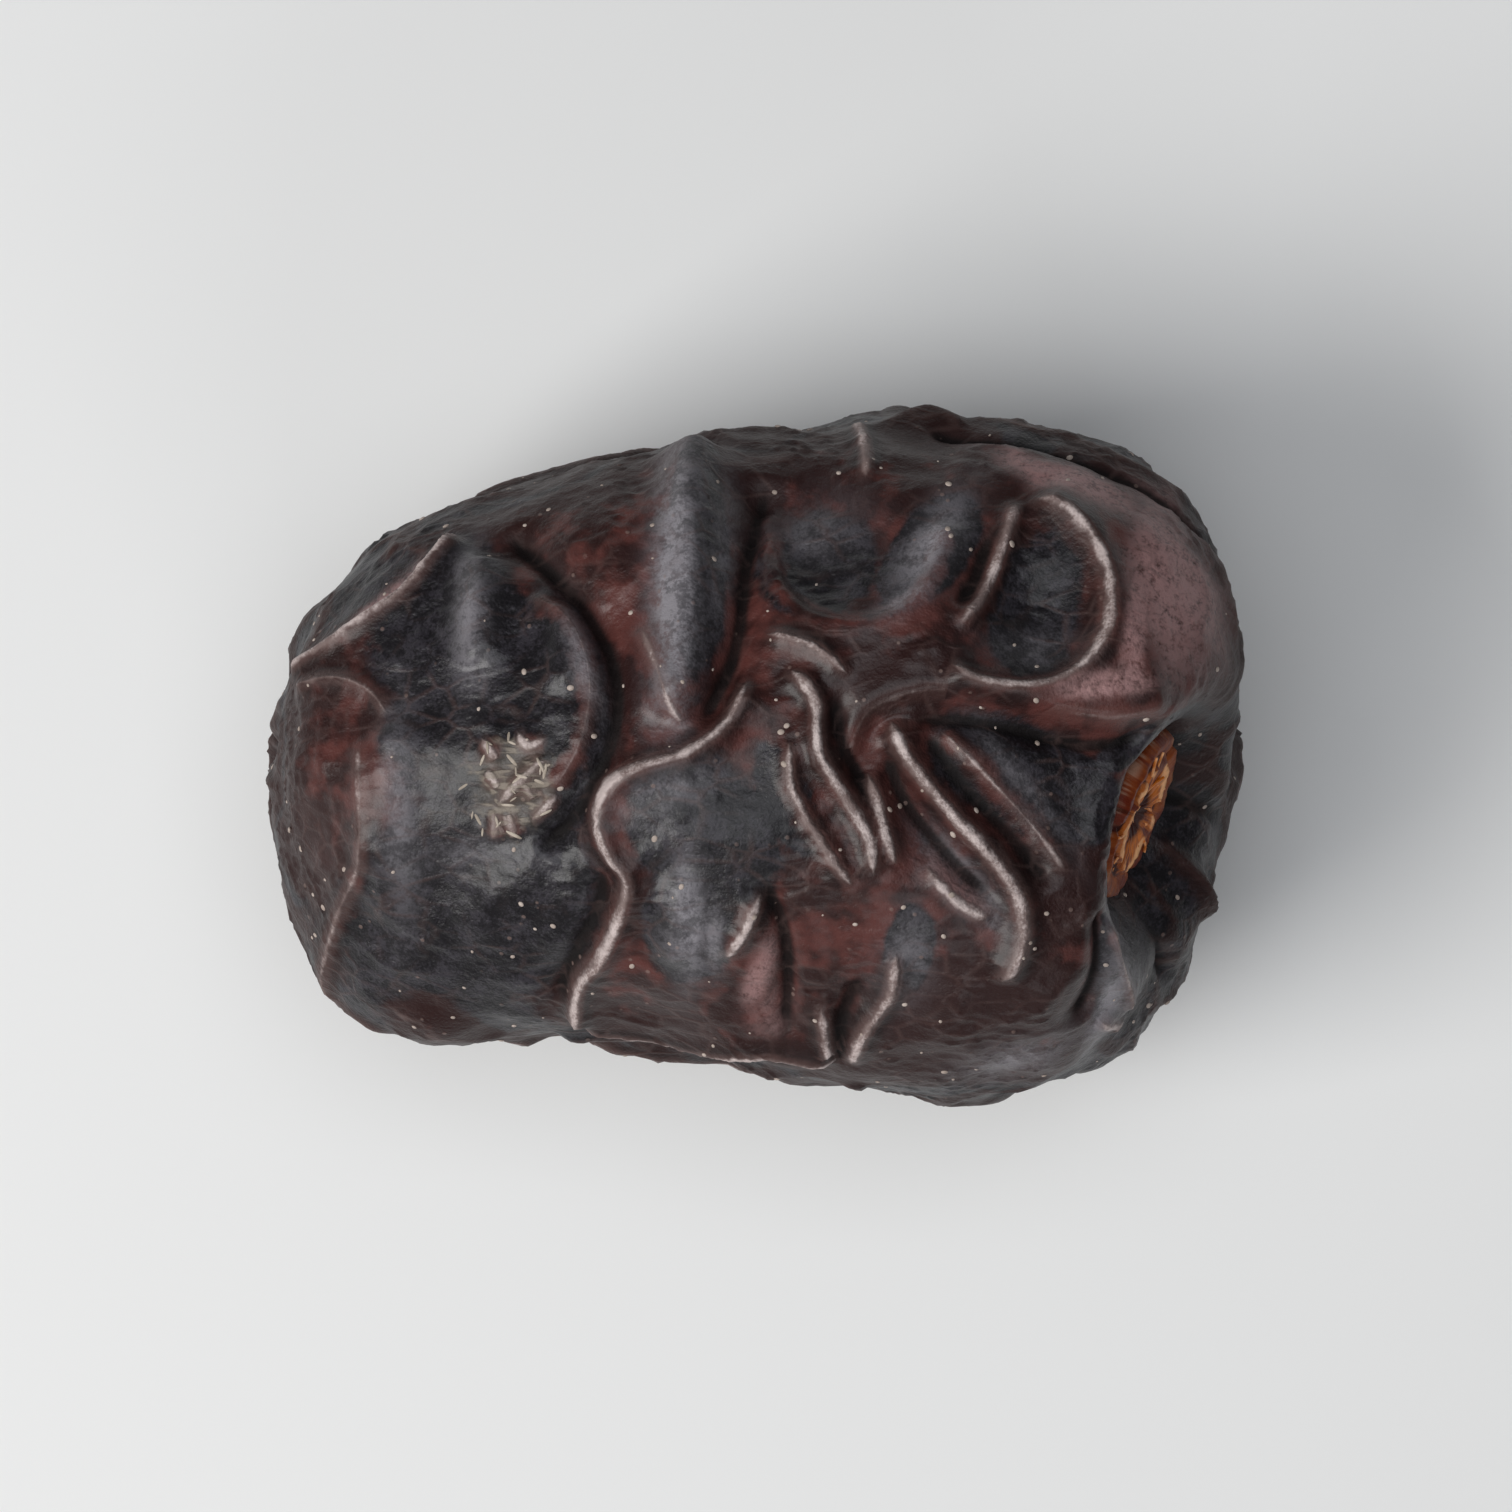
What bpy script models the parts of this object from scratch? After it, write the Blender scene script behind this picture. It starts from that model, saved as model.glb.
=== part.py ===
"""A soft dried Ajwa date lying on its side, in metres, +Z up.

The fruit is one wrinkled solid with a hollow at its stem end, +X. The woody base of the calyx, left when
the stalk was pulled off, sits in that hollow as a second solid. The origin is the middle of the flat spot
that the date rests on. Shapes are worked out in millimetres and placed in metres.
"""

import math
from collections import namedtuple

import bmesh
import bpy
import numpy as np

MM = 0.001

# Size of the finished fruit, in millimetres
LENGTH = 30.0
WIDTH = 21.4
HEIGHT = 19.6
FLAT_SINK = 0.42

# Plain body under the wrinkles: a blunt barrel, stouter towards the stem end
HALF = np.array([15.0, 9.75, 9.9])
BLUNTNESS = 3.0
TAPER = np.array([0.0, 0.2, 0.12])

# Hollow of the stem end, and the calyx base that sits in it
HOLLOW_WAY = (0.81, -0.19, 0.44)
HOLLOW_TILT = math.radians(13.0)
HOLLOW_TURN = math.radians(-22.0)
HOLLOW_RADIUS = 3.4
HOLLOW_DEPTH = 2.9
CALYX_RADIUS = 2.8
CALYX_THICKNESS = 0.55
INNER_SCALES = math.radians(195.0)
OUTER_SCALES = math.radians(135.0)
CALYX_SEAT = 0.4
GAP = 0.3

# Mesh fineness
BODY_CUTS = 95
BODY_TRIANGLES = 11600
SOFTENING = 0.2
CALYX_AROUND = 52
CALYX_RINGS = 18

# How the skin wrinkles away from the folds that are listed one by one
NET_CELLS = 120
NET_HEIGHT = 0.75
NET_WIDTH = 0.42
NET_STRETCH = 0.5
NET_SAG = 0.30
LONG_FOLDS = 16
SPOKES = 9
CREST_TIP = 0.06
STEP_REACH = 1.3
FOLD_REACH = 7.0
FADE = 0.7
SAMPLE = 0.12

FRUIT_COLOUR = (0.022, 0.012, 0.011, 1.0)
CALYX_COLOUR = (0.46, 0.16, 0.035, 1.0)

# A fold follows points in plan, seen from above: x along the date, y across it, in millimetres.
# lift is how much higher the skin stands on the left of the fold than on its right.
Fold = namedtuple("Fold", "form height width lift points")

SEEN_FOLDS = {
    "left_shoulder": Fold(
        "crest", 0.72, 0.42, 0.45,
        ((-9.0, 6.6), (-10.7, 5.0), (-12.5, 3.7), (-14.2, 2.5)),
    ),
    "left_hook": Fold("crest", 0.28, 0.30, 0.0, ((-14.1, 2.0), (-12.9, 2.4), (-11.9, 2.1), (-11.2, 1.2))),
    "left_roll": Fold("roll", 0.55, 0.75, 0.0, ((-8.3, 6.2), (-8.4, 4.6), (-8.5, 2.8))),
    "left_roll_right": Fold("roll", 0.35, 0.60, 0.0, ((-6.0, 4.9), (-5.7, 3.6), (-5.8, 2.0))),
    "left_end_roll": Fold("roll", 0.38, 0.75, 0.0, ((-11.2, 1.2), (-11.3, -1.6), (-11.2, -5.0))),
    "left_band": Fold(
        "crest", 0.30, 0.42, 0.15,
        ((-10.6, -7.7), (-11.7, -7.1), (-12.6, -6.0), (-12.7, -4.6), (-11.9, -2.6), (-12.0, 0.6)),
    ),
    "left_panel_crease": Fold(
        "crease", 0.60, 0.40, 0.0,
        (
            (-7.6, 6.8), (-6.1, 5.6), (-4.9, 4.2), (-4.3, 2.8), (-4.2, 1.3), (-4.7, -0.4), (-5.6, -1.9),
            (-6.6, -2.9),
        ),
    ),
    "left_panel_rim": Fold(
        "crest", 0.26, 0.32, 0.0,
        ((-6.9, 5.0), (-5.5, 3.9), (-5.0, 2.3), (-5.3, 0.5), (-6.3, -1.2)),
    ),
    "middle_crest": Fold(
        "crest", 0.60, 0.32, 0.60,
        (
            (-0.1, 2.4), (-0.9, 1.0), (-2.1, 0.2), (-3.5, -0.2), (-4.5, -0.8), (-4.8, -1.8), (-4.4, -2.8),
            (-3.9, -3.4), (-4.1, -4.5), (-4.7, -5.8), (-5.4, -6.7), (-5.6, -8.1),
        ),
    ),
    "middle_crease": Fold(
        "crease", 0.35, 0.30, 0.0,
        ((-4.6, -3.3), (-4.8, -4.6), (-5.5, -6.0), (-6.1, -7.4)),
    ),
    "bottom_crest": Fold(
        "crest", 0.50, 0.35, 0.60,
        ((-5.5, -8.2), (-4.1, -8.5), (-2.8, -8.75), (-1.2, -8.7), (0.2, -8.5), (1.3, -8.6), (2.8, -8.9)),
    ),
    "long_roll": Fold(
        "roll", 0.90, 0.95, 0.0,
        ((-1.9, 8.8), (-1.9, 6.4), (-2.1, 4.1), (-2.2, 2.4), (-2.1, 1.4)),
    ),
    "roll_valley": Fold(
        "crease", 0.75, 0.55, 0.0,
        ((0.4, 8.2), (-0.2, 6.0), (-0.4, 4.1), (-0.8, 2.6), (-1.6, 1.1)),
    ),
    "roll_edge": Fold("crest", 0.20, 0.30, 0.0, ((-3.5, 4.1), (-3.0, 2.8), (-2.5, 1.5), (-1.9, 0.9))),
    "bowl_edge": Fold(
        "crest", 0.30, 0.38, -0.30,
        ((0.5, 7.8), (0.6, 6.3), (1.0, 5.0), (2.0, 4.2), (3.5, 4.0), (4.8, 4.5), (5.6, 5.7), (5.9, 7.1)),
    ),
    "short_crest": Fold("crest", 0.34, 0.30, 0.0, ((0.3, 3.7), (1.7, 3.3), (3.0, 2.4))),
    "wavy_crest": Fold(
        "crest", 0.50, 0.30, 0.0,
        ((1.1, 2.7), (1.9, 1.7), (2.0, 0.3), (2.7, -0.9), (3.5, -2.2), (3.7, -3.4)),
    ),
    "wavy_crease": Fold("crease", 0.40, 0.28, 0.0, ((2.5, 2.0), (2.7, 0.6), (3.3, -0.6), (4.0, -1.9))),
    "inner_crest": Fold("crest", 0.38, 0.32, 0.0, ((1.1, 0.7), (1.2, -0.8), (2.1, -2.4), (3.1, -3.7))),
    "spur": Fold("crest", 0.42, 0.28, 0.0, ((3.5, -0.3), (3.9, -1.6), (4.4, -3.2))),
    "long_crest": Fold(
        "crest", 0.58, 0.33, 0.0,
        ((4.2, 1.3), (4.7, 0.1), (6.0, -1.5), (7.3, -2.9), (8.0, -4.0), (8.1, -5.3), (7.5, -6.4)),
    ),
    "wedge_crease": Fold("crease", 0.55, 0.40, 0.0, ((4.1, 0.3), (4.8, -1.5), (6.2, -3.2), (7.3, -4.2))),
    "outer_crease": Fold("crease", 0.40, 0.35, 0.0, ((5.2, 0.9), (6.6, -0.9), (8.0, -2.5), (8.8, -3.8))),
    "outer_crest": Fold("crest", 0.26, 0.36, 0.0, ((5.6, 1.1), (6.9, -0.2), (8.2, -1.6), (9.4, -3.4))),
    "wedge_foot": Fold("crest", 0.36, 0.34, 0.0, ((5.2, -3.1), (6.3, -4.2), (7.4, -4.7))),
    "pocket_left": Fold("crest", 0.42, 0.30, 0.0, ((8.1, 7.5), (7.6, 6.1), (7.0, 4.8), (6.3, 3.9))),
    "pocket_left_crease": Fold("crease", 0.35, 0.30, 0.0, ((7.3, 6.8), (6.9, 5.6), (6.2, 4.5))),
    "pocket_rim": Fold(
        "crest", 0.52, 0.40, 0.60,
        ((8.5, 7.5), (9.8, 6.6), (10.6, 5.3), (10.6, 3.8), (9.8, 2.7), (8.5, 2.2), (6.9, 2.3), (5.9, 2.8)),
    ),
    "big_fold": Fold(
        "crest", 0.32, 0.36, -0.85,
        ((12.4, 1.6), (10.5, 1.4), (8.5, 1.7), (6.9, 2.0), (5.1, 2.0), (3.8, 1.6), (3.2, 0.9), (2.8, -0.4)),
    ),
    "big_fold_crease": Fold(
        "crease", 0.55, 0.45, 0.0,
        ((12.2, 0.8), (10.3, 0.6), (8.4, 0.9), (6.6, 1.2), (5.0, 1.3)),
    ),
    "top_edge_crease": Fold(
        "crease", 0.32, 0.28, 0.0,
        ((5.4, 9.9), (8.0, 9.4), (10.6, 8.5), (12.6, 7.2), (13.9, 5.6)),
    ),
    "top_edge_crest": Fold("crest", 0.26, 0.30, 0.0, ((6.4, 10.1), (8.8, 9.8), (11.2, 8.7), (13.2, 7.3))),
    "right_rim": Fold("crest", 0.26, 0.42, 0.0, ((13.2, 6.6), (14.0, 5.0), (14.4, 3.2))),
    "top_tick": Fold("crest", 0.32, 0.26, 0.0, ((3.2, 9.9), (3.5, 9.0), (3.5, 8.2))),
    "lower_tick": Fold("crest", 0.36, 0.30, 0.0, ((4.4, -5.6), (4.2, -7.0), (3.4, -8.0), (3.0, -9.0))),
    "lower_tick_crease": Fold("crease", 0.40, 0.30, 0.0, ((3.4, -6.6), (2.8, -7.7), (2.6, -9.0))),
    "lower_tick_left": Fold("crest", 0.30, 0.28, 0.0, ((2.1, -7.2), (2.4, -8.8))),
    "plateau_roll": Fold("roll", 0.35, 0.50, 0.0, ((-2.1, -3.2), (-2.4, -4.6), (-2.4, -6.0))),
    "dent_left": Fold("crest", 0.34, 0.28, 0.0, ((-0.9, -5.7), (-0.2, -4.7), (0.3, -3.7))),
    "dent_crease": Fold("crease", 0.45, 0.30, 0.0, ((0.3, -3.5), (0.9, -4.8), (1.1, -6.5), (1.0, -8.0))),
    "cheek_crease": Fold("crease", 0.60, 0.45, 0.0, ((10.6, -4.4), (10.5, -6.0), (10.1, -8.0))),
    "cheek_crest": Fold("crest", 0.40, 0.35, 0.0, ((11.2, -4.9), (11.7, -6.6), (12.0, -8.0))),
    "cheek_edge": Fold("crest", 0.36, 0.35, 0.0, ((10.8, -8.0), (12.0, -8.5))),
}

# Broad swellings and dents seen from above: x, y, radius and height, in millimetres
SEEN_LUMPS = {
    "upper_lobe": (12.2, 5.6, 4.2, 0.70),
    "upper_band": (-3.5, 7.4, 3.4, 0.35),
    "middle_plateau": (-1.8, -4.0, 3.8, 0.40),
    "left_panel_dent": (-8.6, -1.0, 4.4, -0.60),
    "left_end": (-13.2, -1.5, 3.0, 0.35),
    "lower_left_corner": (-11.2, -7.2, 3.0, 1.3),
    "bowl_dent": (2.6, 6.3, 2.2, -0.65),
    "pocket_dent": (8.8, 4.5, 1.8, -0.90),
    "calyx_side_dent": (9.9, -0.9, 2.5, -0.85),
    "wedge_dent": (5.4, -1.6, 1.6, -0.35),
    "lower_cheek": (9.2, -7.2, 3.0, 0.35),
    "corner_fall": (13.6, -6.5, 3.6, -1.5),
    "side_fall": (14.5, -2.6, 2.8, -0.8),
    "bottom_fall": (-2.0, -9.6, 3.2, -0.90),
    "upper_edge": (-0.6, 9.4, 2.2, 0.55),
    "upper_corner": (13.2, 7.2, 2.4, 0.50),
}


def smoothstep(low, high, value):
    share = np.clip((value - low) / (high - low), 0.0, 1.0)
    return share * share * (3.0 - 2.0 * share)


def unit(vectors):
    return vectors / np.maximum(np.linalg.norm(vectors, axis=-1, keepdims=True), 1e-12)


def noise(points, seed):
    """Smooth repeatable noise from -1 to 1, with a wavelength of about 2 units."""
    cell = np.floor(points).astype(np.int64)
    part = points - cell
    part = part * part * part * (part * (part * 6.0 - 15.0) + 10.0)
    total = np.zeros(len(points))
    for corner in range(8):
        step = np.array([corner & 1, corner >> 1 & 1, corner >> 2 & 1])
        x, y, z = (cell + step).T
        mixed = (x * 374761393 + y * 668265263 + z * 1442695041 + seed * 974711) & 0xFFFFFFFF
        mixed = ((mixed ^ (mixed >> 13)) * 1274126177) & 0xFFFFFFFF
        value = ((mixed ^ (mixed >> 16)) & 0xFFFF) / 32767.5 - 1.0
        total += value * np.prod(np.where(step, part, 1.0 - part), axis=1)
    return total


def body_scale(x):
    """Half sizes of the body at each x, which grow towards the stem end."""
    return HALF * (1.0 + TAPER * (x / HALF[0])[:, None])


def body_point(way):
    """The point of the plain body that lies in each direction from its middle."""
    way = unit(np.asarray(way, float))
    around = np.hypot(way[:, 1], way[:, 2])
    reach = (np.abs(way[:, 0]) ** BLUNTNESS + around**BLUNTNESS) ** (-1.0 / BLUNTNESS)
    flat = way * reach[:, None]
    return flat * body_scale(flat[:, 0] * HALF[0])


def body_normal(points):
    flat = points / body_scale(points[:, 0])
    around = np.hypot(flat[:, 1], flat[:, 2])
    slope = np.stack(
        [
            np.sign(flat[:, 0]) * np.abs(flat[:, 0]) ** (BLUNTNESS - 1.0),
            flat[:, 1] * around ** (BLUNTNESS - 2.0),
            flat[:, 2] * around ** (BLUNTNESS - 2.0),
        ],
        axis=1,
    )
    return unit(slope / HALF)


def top_of_body(plan):
    """The points of the body's upper side that lie under points drawn in plan."""
    plan = np.asarray(plan, float)
    scale = body_scale(plan[:, 0])
    round_share = (1.0 - np.minimum(np.abs(plan[:, 0] / HALF[0]), 0.999) ** BLUNTNESS) ** (1.0 / BLUNTNESS)
    across = np.clip(plan[:, 1] / scale[:, 1], -0.995 * round_share, 0.995 * round_share)
    up = scale[:, 2] * np.sqrt(round_share**2 - across**2)
    return np.stack([plan[:, 0], across * scale[:, 1], up], axis=1)


def smooth_path(points):
    """Close samples of a smooth curve through the points."""
    points = np.asarray(points, float)
    ends = np.concatenate([[2 * points[0] - points[1]], points, [2 * points[-1] - points[-2]]])
    samples = []
    for a, b, c, d in zip(ends, ends[1:], ends[2:], ends[3:]):
        count = max(2, int(np.linalg.norm(c - b) / SAMPLE))
        t = np.linspace(0.0, 1.0, count, endpoint=False)[:, None]
        square, cube = 2 * a - 5 * b + 4 * c - d, 3 * b - a - 3 * c + d
        samples.append(0.5 * (2 * b + (c - a) * t + square * t**2 + cube * t**3))
    return np.concatenate(samples + [points[-1:]])


def fold_relief(fold, path, points, normals):
    """How far one fold raises each point, as its crest and as the rest of it."""
    crest = np.zeros(len(points))
    rest = np.zeros(len(points))
    reach = FOLD_REACH * (STEP_REACH if fold.lift else fold.width)
    near = np.flatnonzero(((points > path.min(0) - reach) & (points < path.max(0) + reach)).all(1))
    if not len(near):
        return crest, rest
    here, normal = points[near], normals[near]
    square = (here**2).sum(1)[:, None] + (path**2).sum(1)[None] - 2.0 * here @ path.T
    nearest = square.argmin(1)
    steps = np.linalg.norm(np.diff(path, axis=0), axis=1)
    length = np.concatenate([[0.0], np.cumsum(steps)])
    tangent = unit(np.gradient(path, axis=0))[nearest]
    offset = here - path[nearest]
    along = (offset * tangent).sum(1)
    place = length[nearest] + along
    kept = np.clip(place, 0.0, length[-1]) - length[nearest]
    offset = offset - tangent * kept[:, None]
    distance = np.linalg.norm(offset, axis=1)
    side = (offset * np.cross(normal, tangent)).sum(1)
    fade = smoothstep(-0.3 * FADE, FADE, np.minimum(place, length[-1] - place))
    fade = fade * (1.0 - smoothstep(0.5 * reach, reach, distance))
    if fold.form == "roll":
        rest[near] = fold.height * np.exp(-((distance / fold.width) ** 2)) * fade
    else:
        sharp = np.exp(-(np.hypot(distance, CREST_TIP) - CREST_TIP) / fold.width) * fade
        if fold.form == "crest":
            crest[near] = fold.height * sharp
        else:
            rest[near] = -fold.height * sharp
    rest[near] += 0.5 * fold.lift * np.tanh(side / fold.width) * np.exp(-distance / STEP_REACH) * fade
    return crest, rest


def long_folds():
    """Wandering lengthwise folds on the flanks and underneath, as (fold, path on the body)."""
    draw = np.random.default_rng(41)
    made = []
    for number in range(LONG_FOLDS):
        turn = math.radians(200.0 + 320.0 * (number + draw.uniform(-0.3, 0.3)) / LONG_FOLDS - 90.0)
        middle = draw.uniform(-0.35, 0.45)
        half_run = draw.uniform(0.25, 0.6)
        wander = draw.uniform(-0.08, 0.08, 7)
        ways = [
            (middle + half_run * share, math.cos(turn + bend), math.sin(turn + bend))
            for share, bend in zip(np.linspace(-1.0, 1.0, 7), wander)
        ]
        form = "crease" if number % 3 == 2 else "crest"
        fold = Fold(form, draw.uniform(0.4, 0.7), draw.uniform(0.34, 0.5), draw.uniform(-0.45, 0.45), None)
        made.append((fold, smooth_path(body_point(ways))))
    return made


def spoke_folds(centre, count, start, run, seed, height):
    """Folds that run out from a point of the skin like spokes, as the skin puckers round it."""
    draw = np.random.default_rng(seed)
    centre = unit(np.asarray(centre, float))
    side = unit(np.cross(centre, (0.0, 0.0, 1.0)))
    up = np.cross(side, centre)
    made = []
    for number in range(count):
        turn = 2.0 * math.pi * (number + draw.uniform(-0.25, 0.25)) / count
        bend = draw.uniform(-0.35, 0.35)
        length = run * draw.uniform(0.7, 1.3)
        ways = []
        for share in np.linspace(0.0, 1.0, 5):
            away = start + length * share
            angle = turn + bend * share
            ways.append(
                centre * math.cos(away) + (side * math.cos(angle) + up * math.sin(angle)) * math.sin(away)
            )
        form = "crest" if number % 2 else "crease"
        fold = Fold(form, height * draw.uniform(0.7, 1.2), 0.3, 0.0, None)
        made.append((fold, smooth_path(body_point(ways))))
    return made


def listed_folds():
    """The folds of the upper side, each with its path on the body."""
    return [(fold, smooth_path(top_of_body(fold.points))) for fold in SEEN_FOLDS.values()]


def free_folds():
    """The folds of the flanks, the underside and both ends."""
    stem_end = spoke_folds(HOLLOW_WAY, SPOKES, 0.22, 0.34, 17, 0.55)
    tip_end = spoke_folds((-1.0, 0.03, -0.05), SPOKES, 0.05, 0.42, 23, 0.36)
    return long_folds() + stem_end + tip_end


def net_relief(points):
    """A wandering net of crests, some of them low or missing, and the sag of the skin between them."""
    draw = np.random.default_rng(7)
    count = np.arange(NET_CELLS) + 0.5
    polar = np.arccos(1.0 - 2.0 * count / NET_CELLS)
    turn = math.pi * (1.0 + math.sqrt(5.0)) * count
    ways = np.stack([np.cos(polar), np.sin(polar) * np.cos(turn), np.sin(polar) * np.sin(turn)], axis=1)
    squeeze = np.array([NET_STRETCH, 1.0, 1.0])
    seeds = (body_point(ways) + draw.uniform(-0.9, 0.9, (NET_CELLS, 3))) * squeeze
    bent = points + 1.1 * np.stack([noise(points / 2.6, 11 + axis) for axis in range(3)], axis=1)
    bent = (bent + 0.35 * np.stack([noise(points / 0.9, 14 + axis) for axis in range(3)], axis=1)) * squeeze
    square = (bent**2).sum(1)[:, None] + (seeds**2).sum(1)[None] - 2.0 * bent @ seeds.T
    first, second = np.sqrt(np.maximum(np.partition(square, 1, axis=1)[:, :2], 0.0)).T
    distance = 0.5 * (second - first)
    strength = np.clip(0.6 + 0.8 * noise(points / 2.2, 5), 0.12, 1.0)
    crest = NET_HEIGHT * strength * np.exp(-(np.hypot(distance, CREST_TIP) - CREST_TIP) / NET_WIDTH)
    return crest, -NET_SAG * smoothstep(0.2, 1.6, distance)


def relief_of(points, normals):
    """How far the skin stands out from the plain body at each point."""
    swell = 0.32 * noise(points / 4.2, 3) + 0.16 * noise(points / 1.9, 4)
    crests = np.zeros(len(points))
    rest = np.zeros(len(points))
    everywhere = np.ones(len(points))
    out_of_sight = 1.0 - smoothstep(0.05, 0.4, normals[:, 2])
    for folds, share in ((listed_folds(), everywhere), (free_folds(), out_of_sight)):
        for fold, path in folds:
            crest, other = fold_relief(fold, path, points, normals)
            crests += (share * crest) ** 3
            rest += share * other
    for x, y, radius, height in SEEN_LUMPS.values():
        middle = top_of_body([(x, y)])
        rest += height * np.exp(-((np.linalg.norm(points - middle, axis=1) / radius) ** 2))
    border = normals[:, 2] + 0.25 * noise(points / 3.1, 6)
    hidden = 1.0 - 0.85 * smoothstep(-0.35, 0.3, border)
    net, sag = net_relief(points)
    crests = np.cbrt(crests + (hidden * net) ** 3)
    underneath = smoothstep(-0.97, -0.8, normals[:, 2])
    return (swell + crests + rest + hidden * sag) * (0.15 + 0.85 * underneath)


def hollow_frame():
    """The middle of the hollow's mouth and the direction in which it opens."""
    mouth = body_point([HOLLOW_WAY])[0]
    level = math.cos(HOLLOW_TILT)
    axis = np.array([level * math.cos(HOLLOW_TURN), level * math.sin(HOLLOW_TURN), math.sin(HOLLOW_TILT)])
    return mouth, axis


def with_hollow(points):
    """The points with the stem end pressed in to a flat-floored hollow with a soft lip."""
    mouth, axis = hollow_frame()
    offset = points - mouth
    height = offset @ axis
    away = np.linalg.norm(offset - height[:, None] * axis, axis=1)
    facing = smoothstep(-6.0, -3.0, height)
    pressed = facing / (1.0 + (away / HOLLOW_RADIUS) ** 6)
    lip = 0.35 * facing * np.exp(-(((away - 1.45 * HOLLOW_RADIUS) / 1.1) ** 2))
    return points + (pressed * (-HOLLOW_DEPTH - height) + lip)[:, None] * axis


def size_fit(points):
    """The scale and shift that bring the fruit to its length, width and height over the flat spot."""
    low, high = points.min(0), points.max(0)
    scale = np.array([LENGTH, WIDTH, HEIGHT + FLAT_SINK]) / (high - low)
    shift = np.array([-LENGTH / 2, -WIDTH / 2, -FLAT_SINK]) - low * scale
    return scale, shift


def fruit_points(ways):
    points = body_point(ways)
    normals = body_normal(points)
    points = with_hollow(points + normals * relief_of(points, normals)[:, None])
    scale, shift = size_fit(points)
    return points * scale + shift, scale, shift


def material(name, colour, roughness):
    made = bpy.data.materials.new(name)
    made.use_nodes = True
    shader = made.node_tree.nodes["Principled BSDF"]
    shader.inputs["Base Color"].default_value = colour
    shader.inputs["Roughness"].default_value = roughness
    shader.inputs["Metallic"].default_value = 0.0
    return made


def finished_object(name, bm, collection, made_of=None):
    mesh = bpy.data.meshes.new(name)
    bm.to_mesh(mesh)
    bm.free()
    mesh.shade_smooth()
    made = bpy.data.objects.new(name, mesh)
    if made_of:
        mesh.materials.append(made_of)
    collection.objects.link(made)
    return made


def ball_of_squares(cuts):
    """A cube cut into even squares and blown up to a unit ball."""
    bm = bmesh.new()
    bmesh.ops.create_cube(bm, size=2.0)
    bmesh.ops.subdivide_edges(bm, edges=bm.edges, cuts=cuts, use_grid_fill=True)
    ways = np.array([v.co for v in bm.verts])
    return bm, unit(np.tan(ways * math.pi / 4.0))


def place_on_hollow(thing, scale, shift, depth):
    """Stands an object in the hollow, its Z along the hollow's axis, that far under the mouth."""
    mouth, axis = hollow_frame()
    thing.location = ((mouth - axis * depth) * scale + shift) * MM
    thing.rotation_euler = (0.0, math.pi / 2 - HOLLOW_TILT, HOLLOW_TURN)


def make_cutter(name, bm, collection):
    cutter = finished_object(name, bm, collection)
    cutter.hide_render = True
    cutter.display_type = "WIRE"
    return cutter


def subtract(thing, cutter):
    cut = thing.modifiers.new(cutter.name, "BOOLEAN")
    cut.operation = "DIFFERENCE"
    cut.solver = "EXACT"
    cut.object = cutter


def make_fruit(parts, cutters):
    bm, ways = ball_of_squares(BODY_CUTS)
    points, scale, shift = fruit_points(ways)
    for vertex, point in zip(bm.verts, points * MM):
        vertex.co = point
    triangles = 2 * len(bm.faces)
    fruit = finished_object("date_fruit", bm, parts, material("date_skin", FRUIT_COLOUR, 0.42))
    fewer = fruit.modifiers.new("fewer_faces", "DECIMATE")
    fewer.ratio = BODY_TRIANGLES / triangles
    softer = fruit.modifiers.new("softer_crests", "SMOOTH")
    softer.factor = SOFTENING
    softer.iterations = 1

    seat_bm = bmesh.new()
    seat_length = 5.0
    seat_radius = CALYX_RADIUS + GAP
    bmesh.ops.create_cone(
        seat_bm, cap_ends=True, segments=CALYX_AROUND, depth=seat_length * MM,
        radius1=seat_radius * MM, radius2=seat_radius * MM,
    )
    bmesh.ops.translate(seat_bm, verts=seat_bm.verts, vec=(0.0, 0.0, seat_length / 2 * MM))
    seat = make_cutter("calyx_seat_cut", seat_bm, cutters)
    place_on_hollow(seat, scale, shift, HOLLOW_DEPTH + CALYX_SEAT)
    subtract(fruit, seat)

    floor_bm = bmesh.new()
    bmesh.ops.create_cube(floor_bm, size=1.0)
    floor_depth = 4.0
    bmesh.ops.scale(floor_bm, verts=floor_bm.verts, vec=(2 * LENGTH * MM, 2 * WIDTH * MM, floor_depth * MM))
    bmesh.ops.translate(floor_bm, verts=floor_bm.verts, vec=(0.0, 0.0, -floor_depth / 2 * MM))
    subtract(fruit, make_cutter("flat_spot_cut", floor_bm, cutters))
    return scale, shift


def calyx_height(share, turn):
    """Height of the calyx base's upper side: three scales in front of three wider ones, round a pit."""
    across_inner = np.cos(1.5 * (turn - INNER_SCALES))
    across_outer = np.cos(1.5 * (turn - OUTER_SCALES))
    edge = 0.60 + 0.11 * np.abs(across_inner)
    on_inner = 1.0 - smoothstep(edge - 0.05, edge + 0.03, share)
    inner = (0.08 + 0.26 * share / edge) * on_inner
    outer = 0.26 * smoothstep(0.55, 0.86, share)
    inner_seams = 0.18 * np.exp(-((across_inner / 0.17) ** 2)) * smoothstep(0.12, 0.3, share) * on_inner
    outer_seams = 0.20 * np.exp(-((across_outer / 0.13) ** 2)) * smoothstep(0.6, 0.78, share)
    pit = 0.26 * np.exp(-((share / 0.2) ** 2))
    return (np.maximum(inner, outer) - inner_seams - outer_seams - pit) * (1.0 - smoothstep(0.93, 1.0, share))


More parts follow.
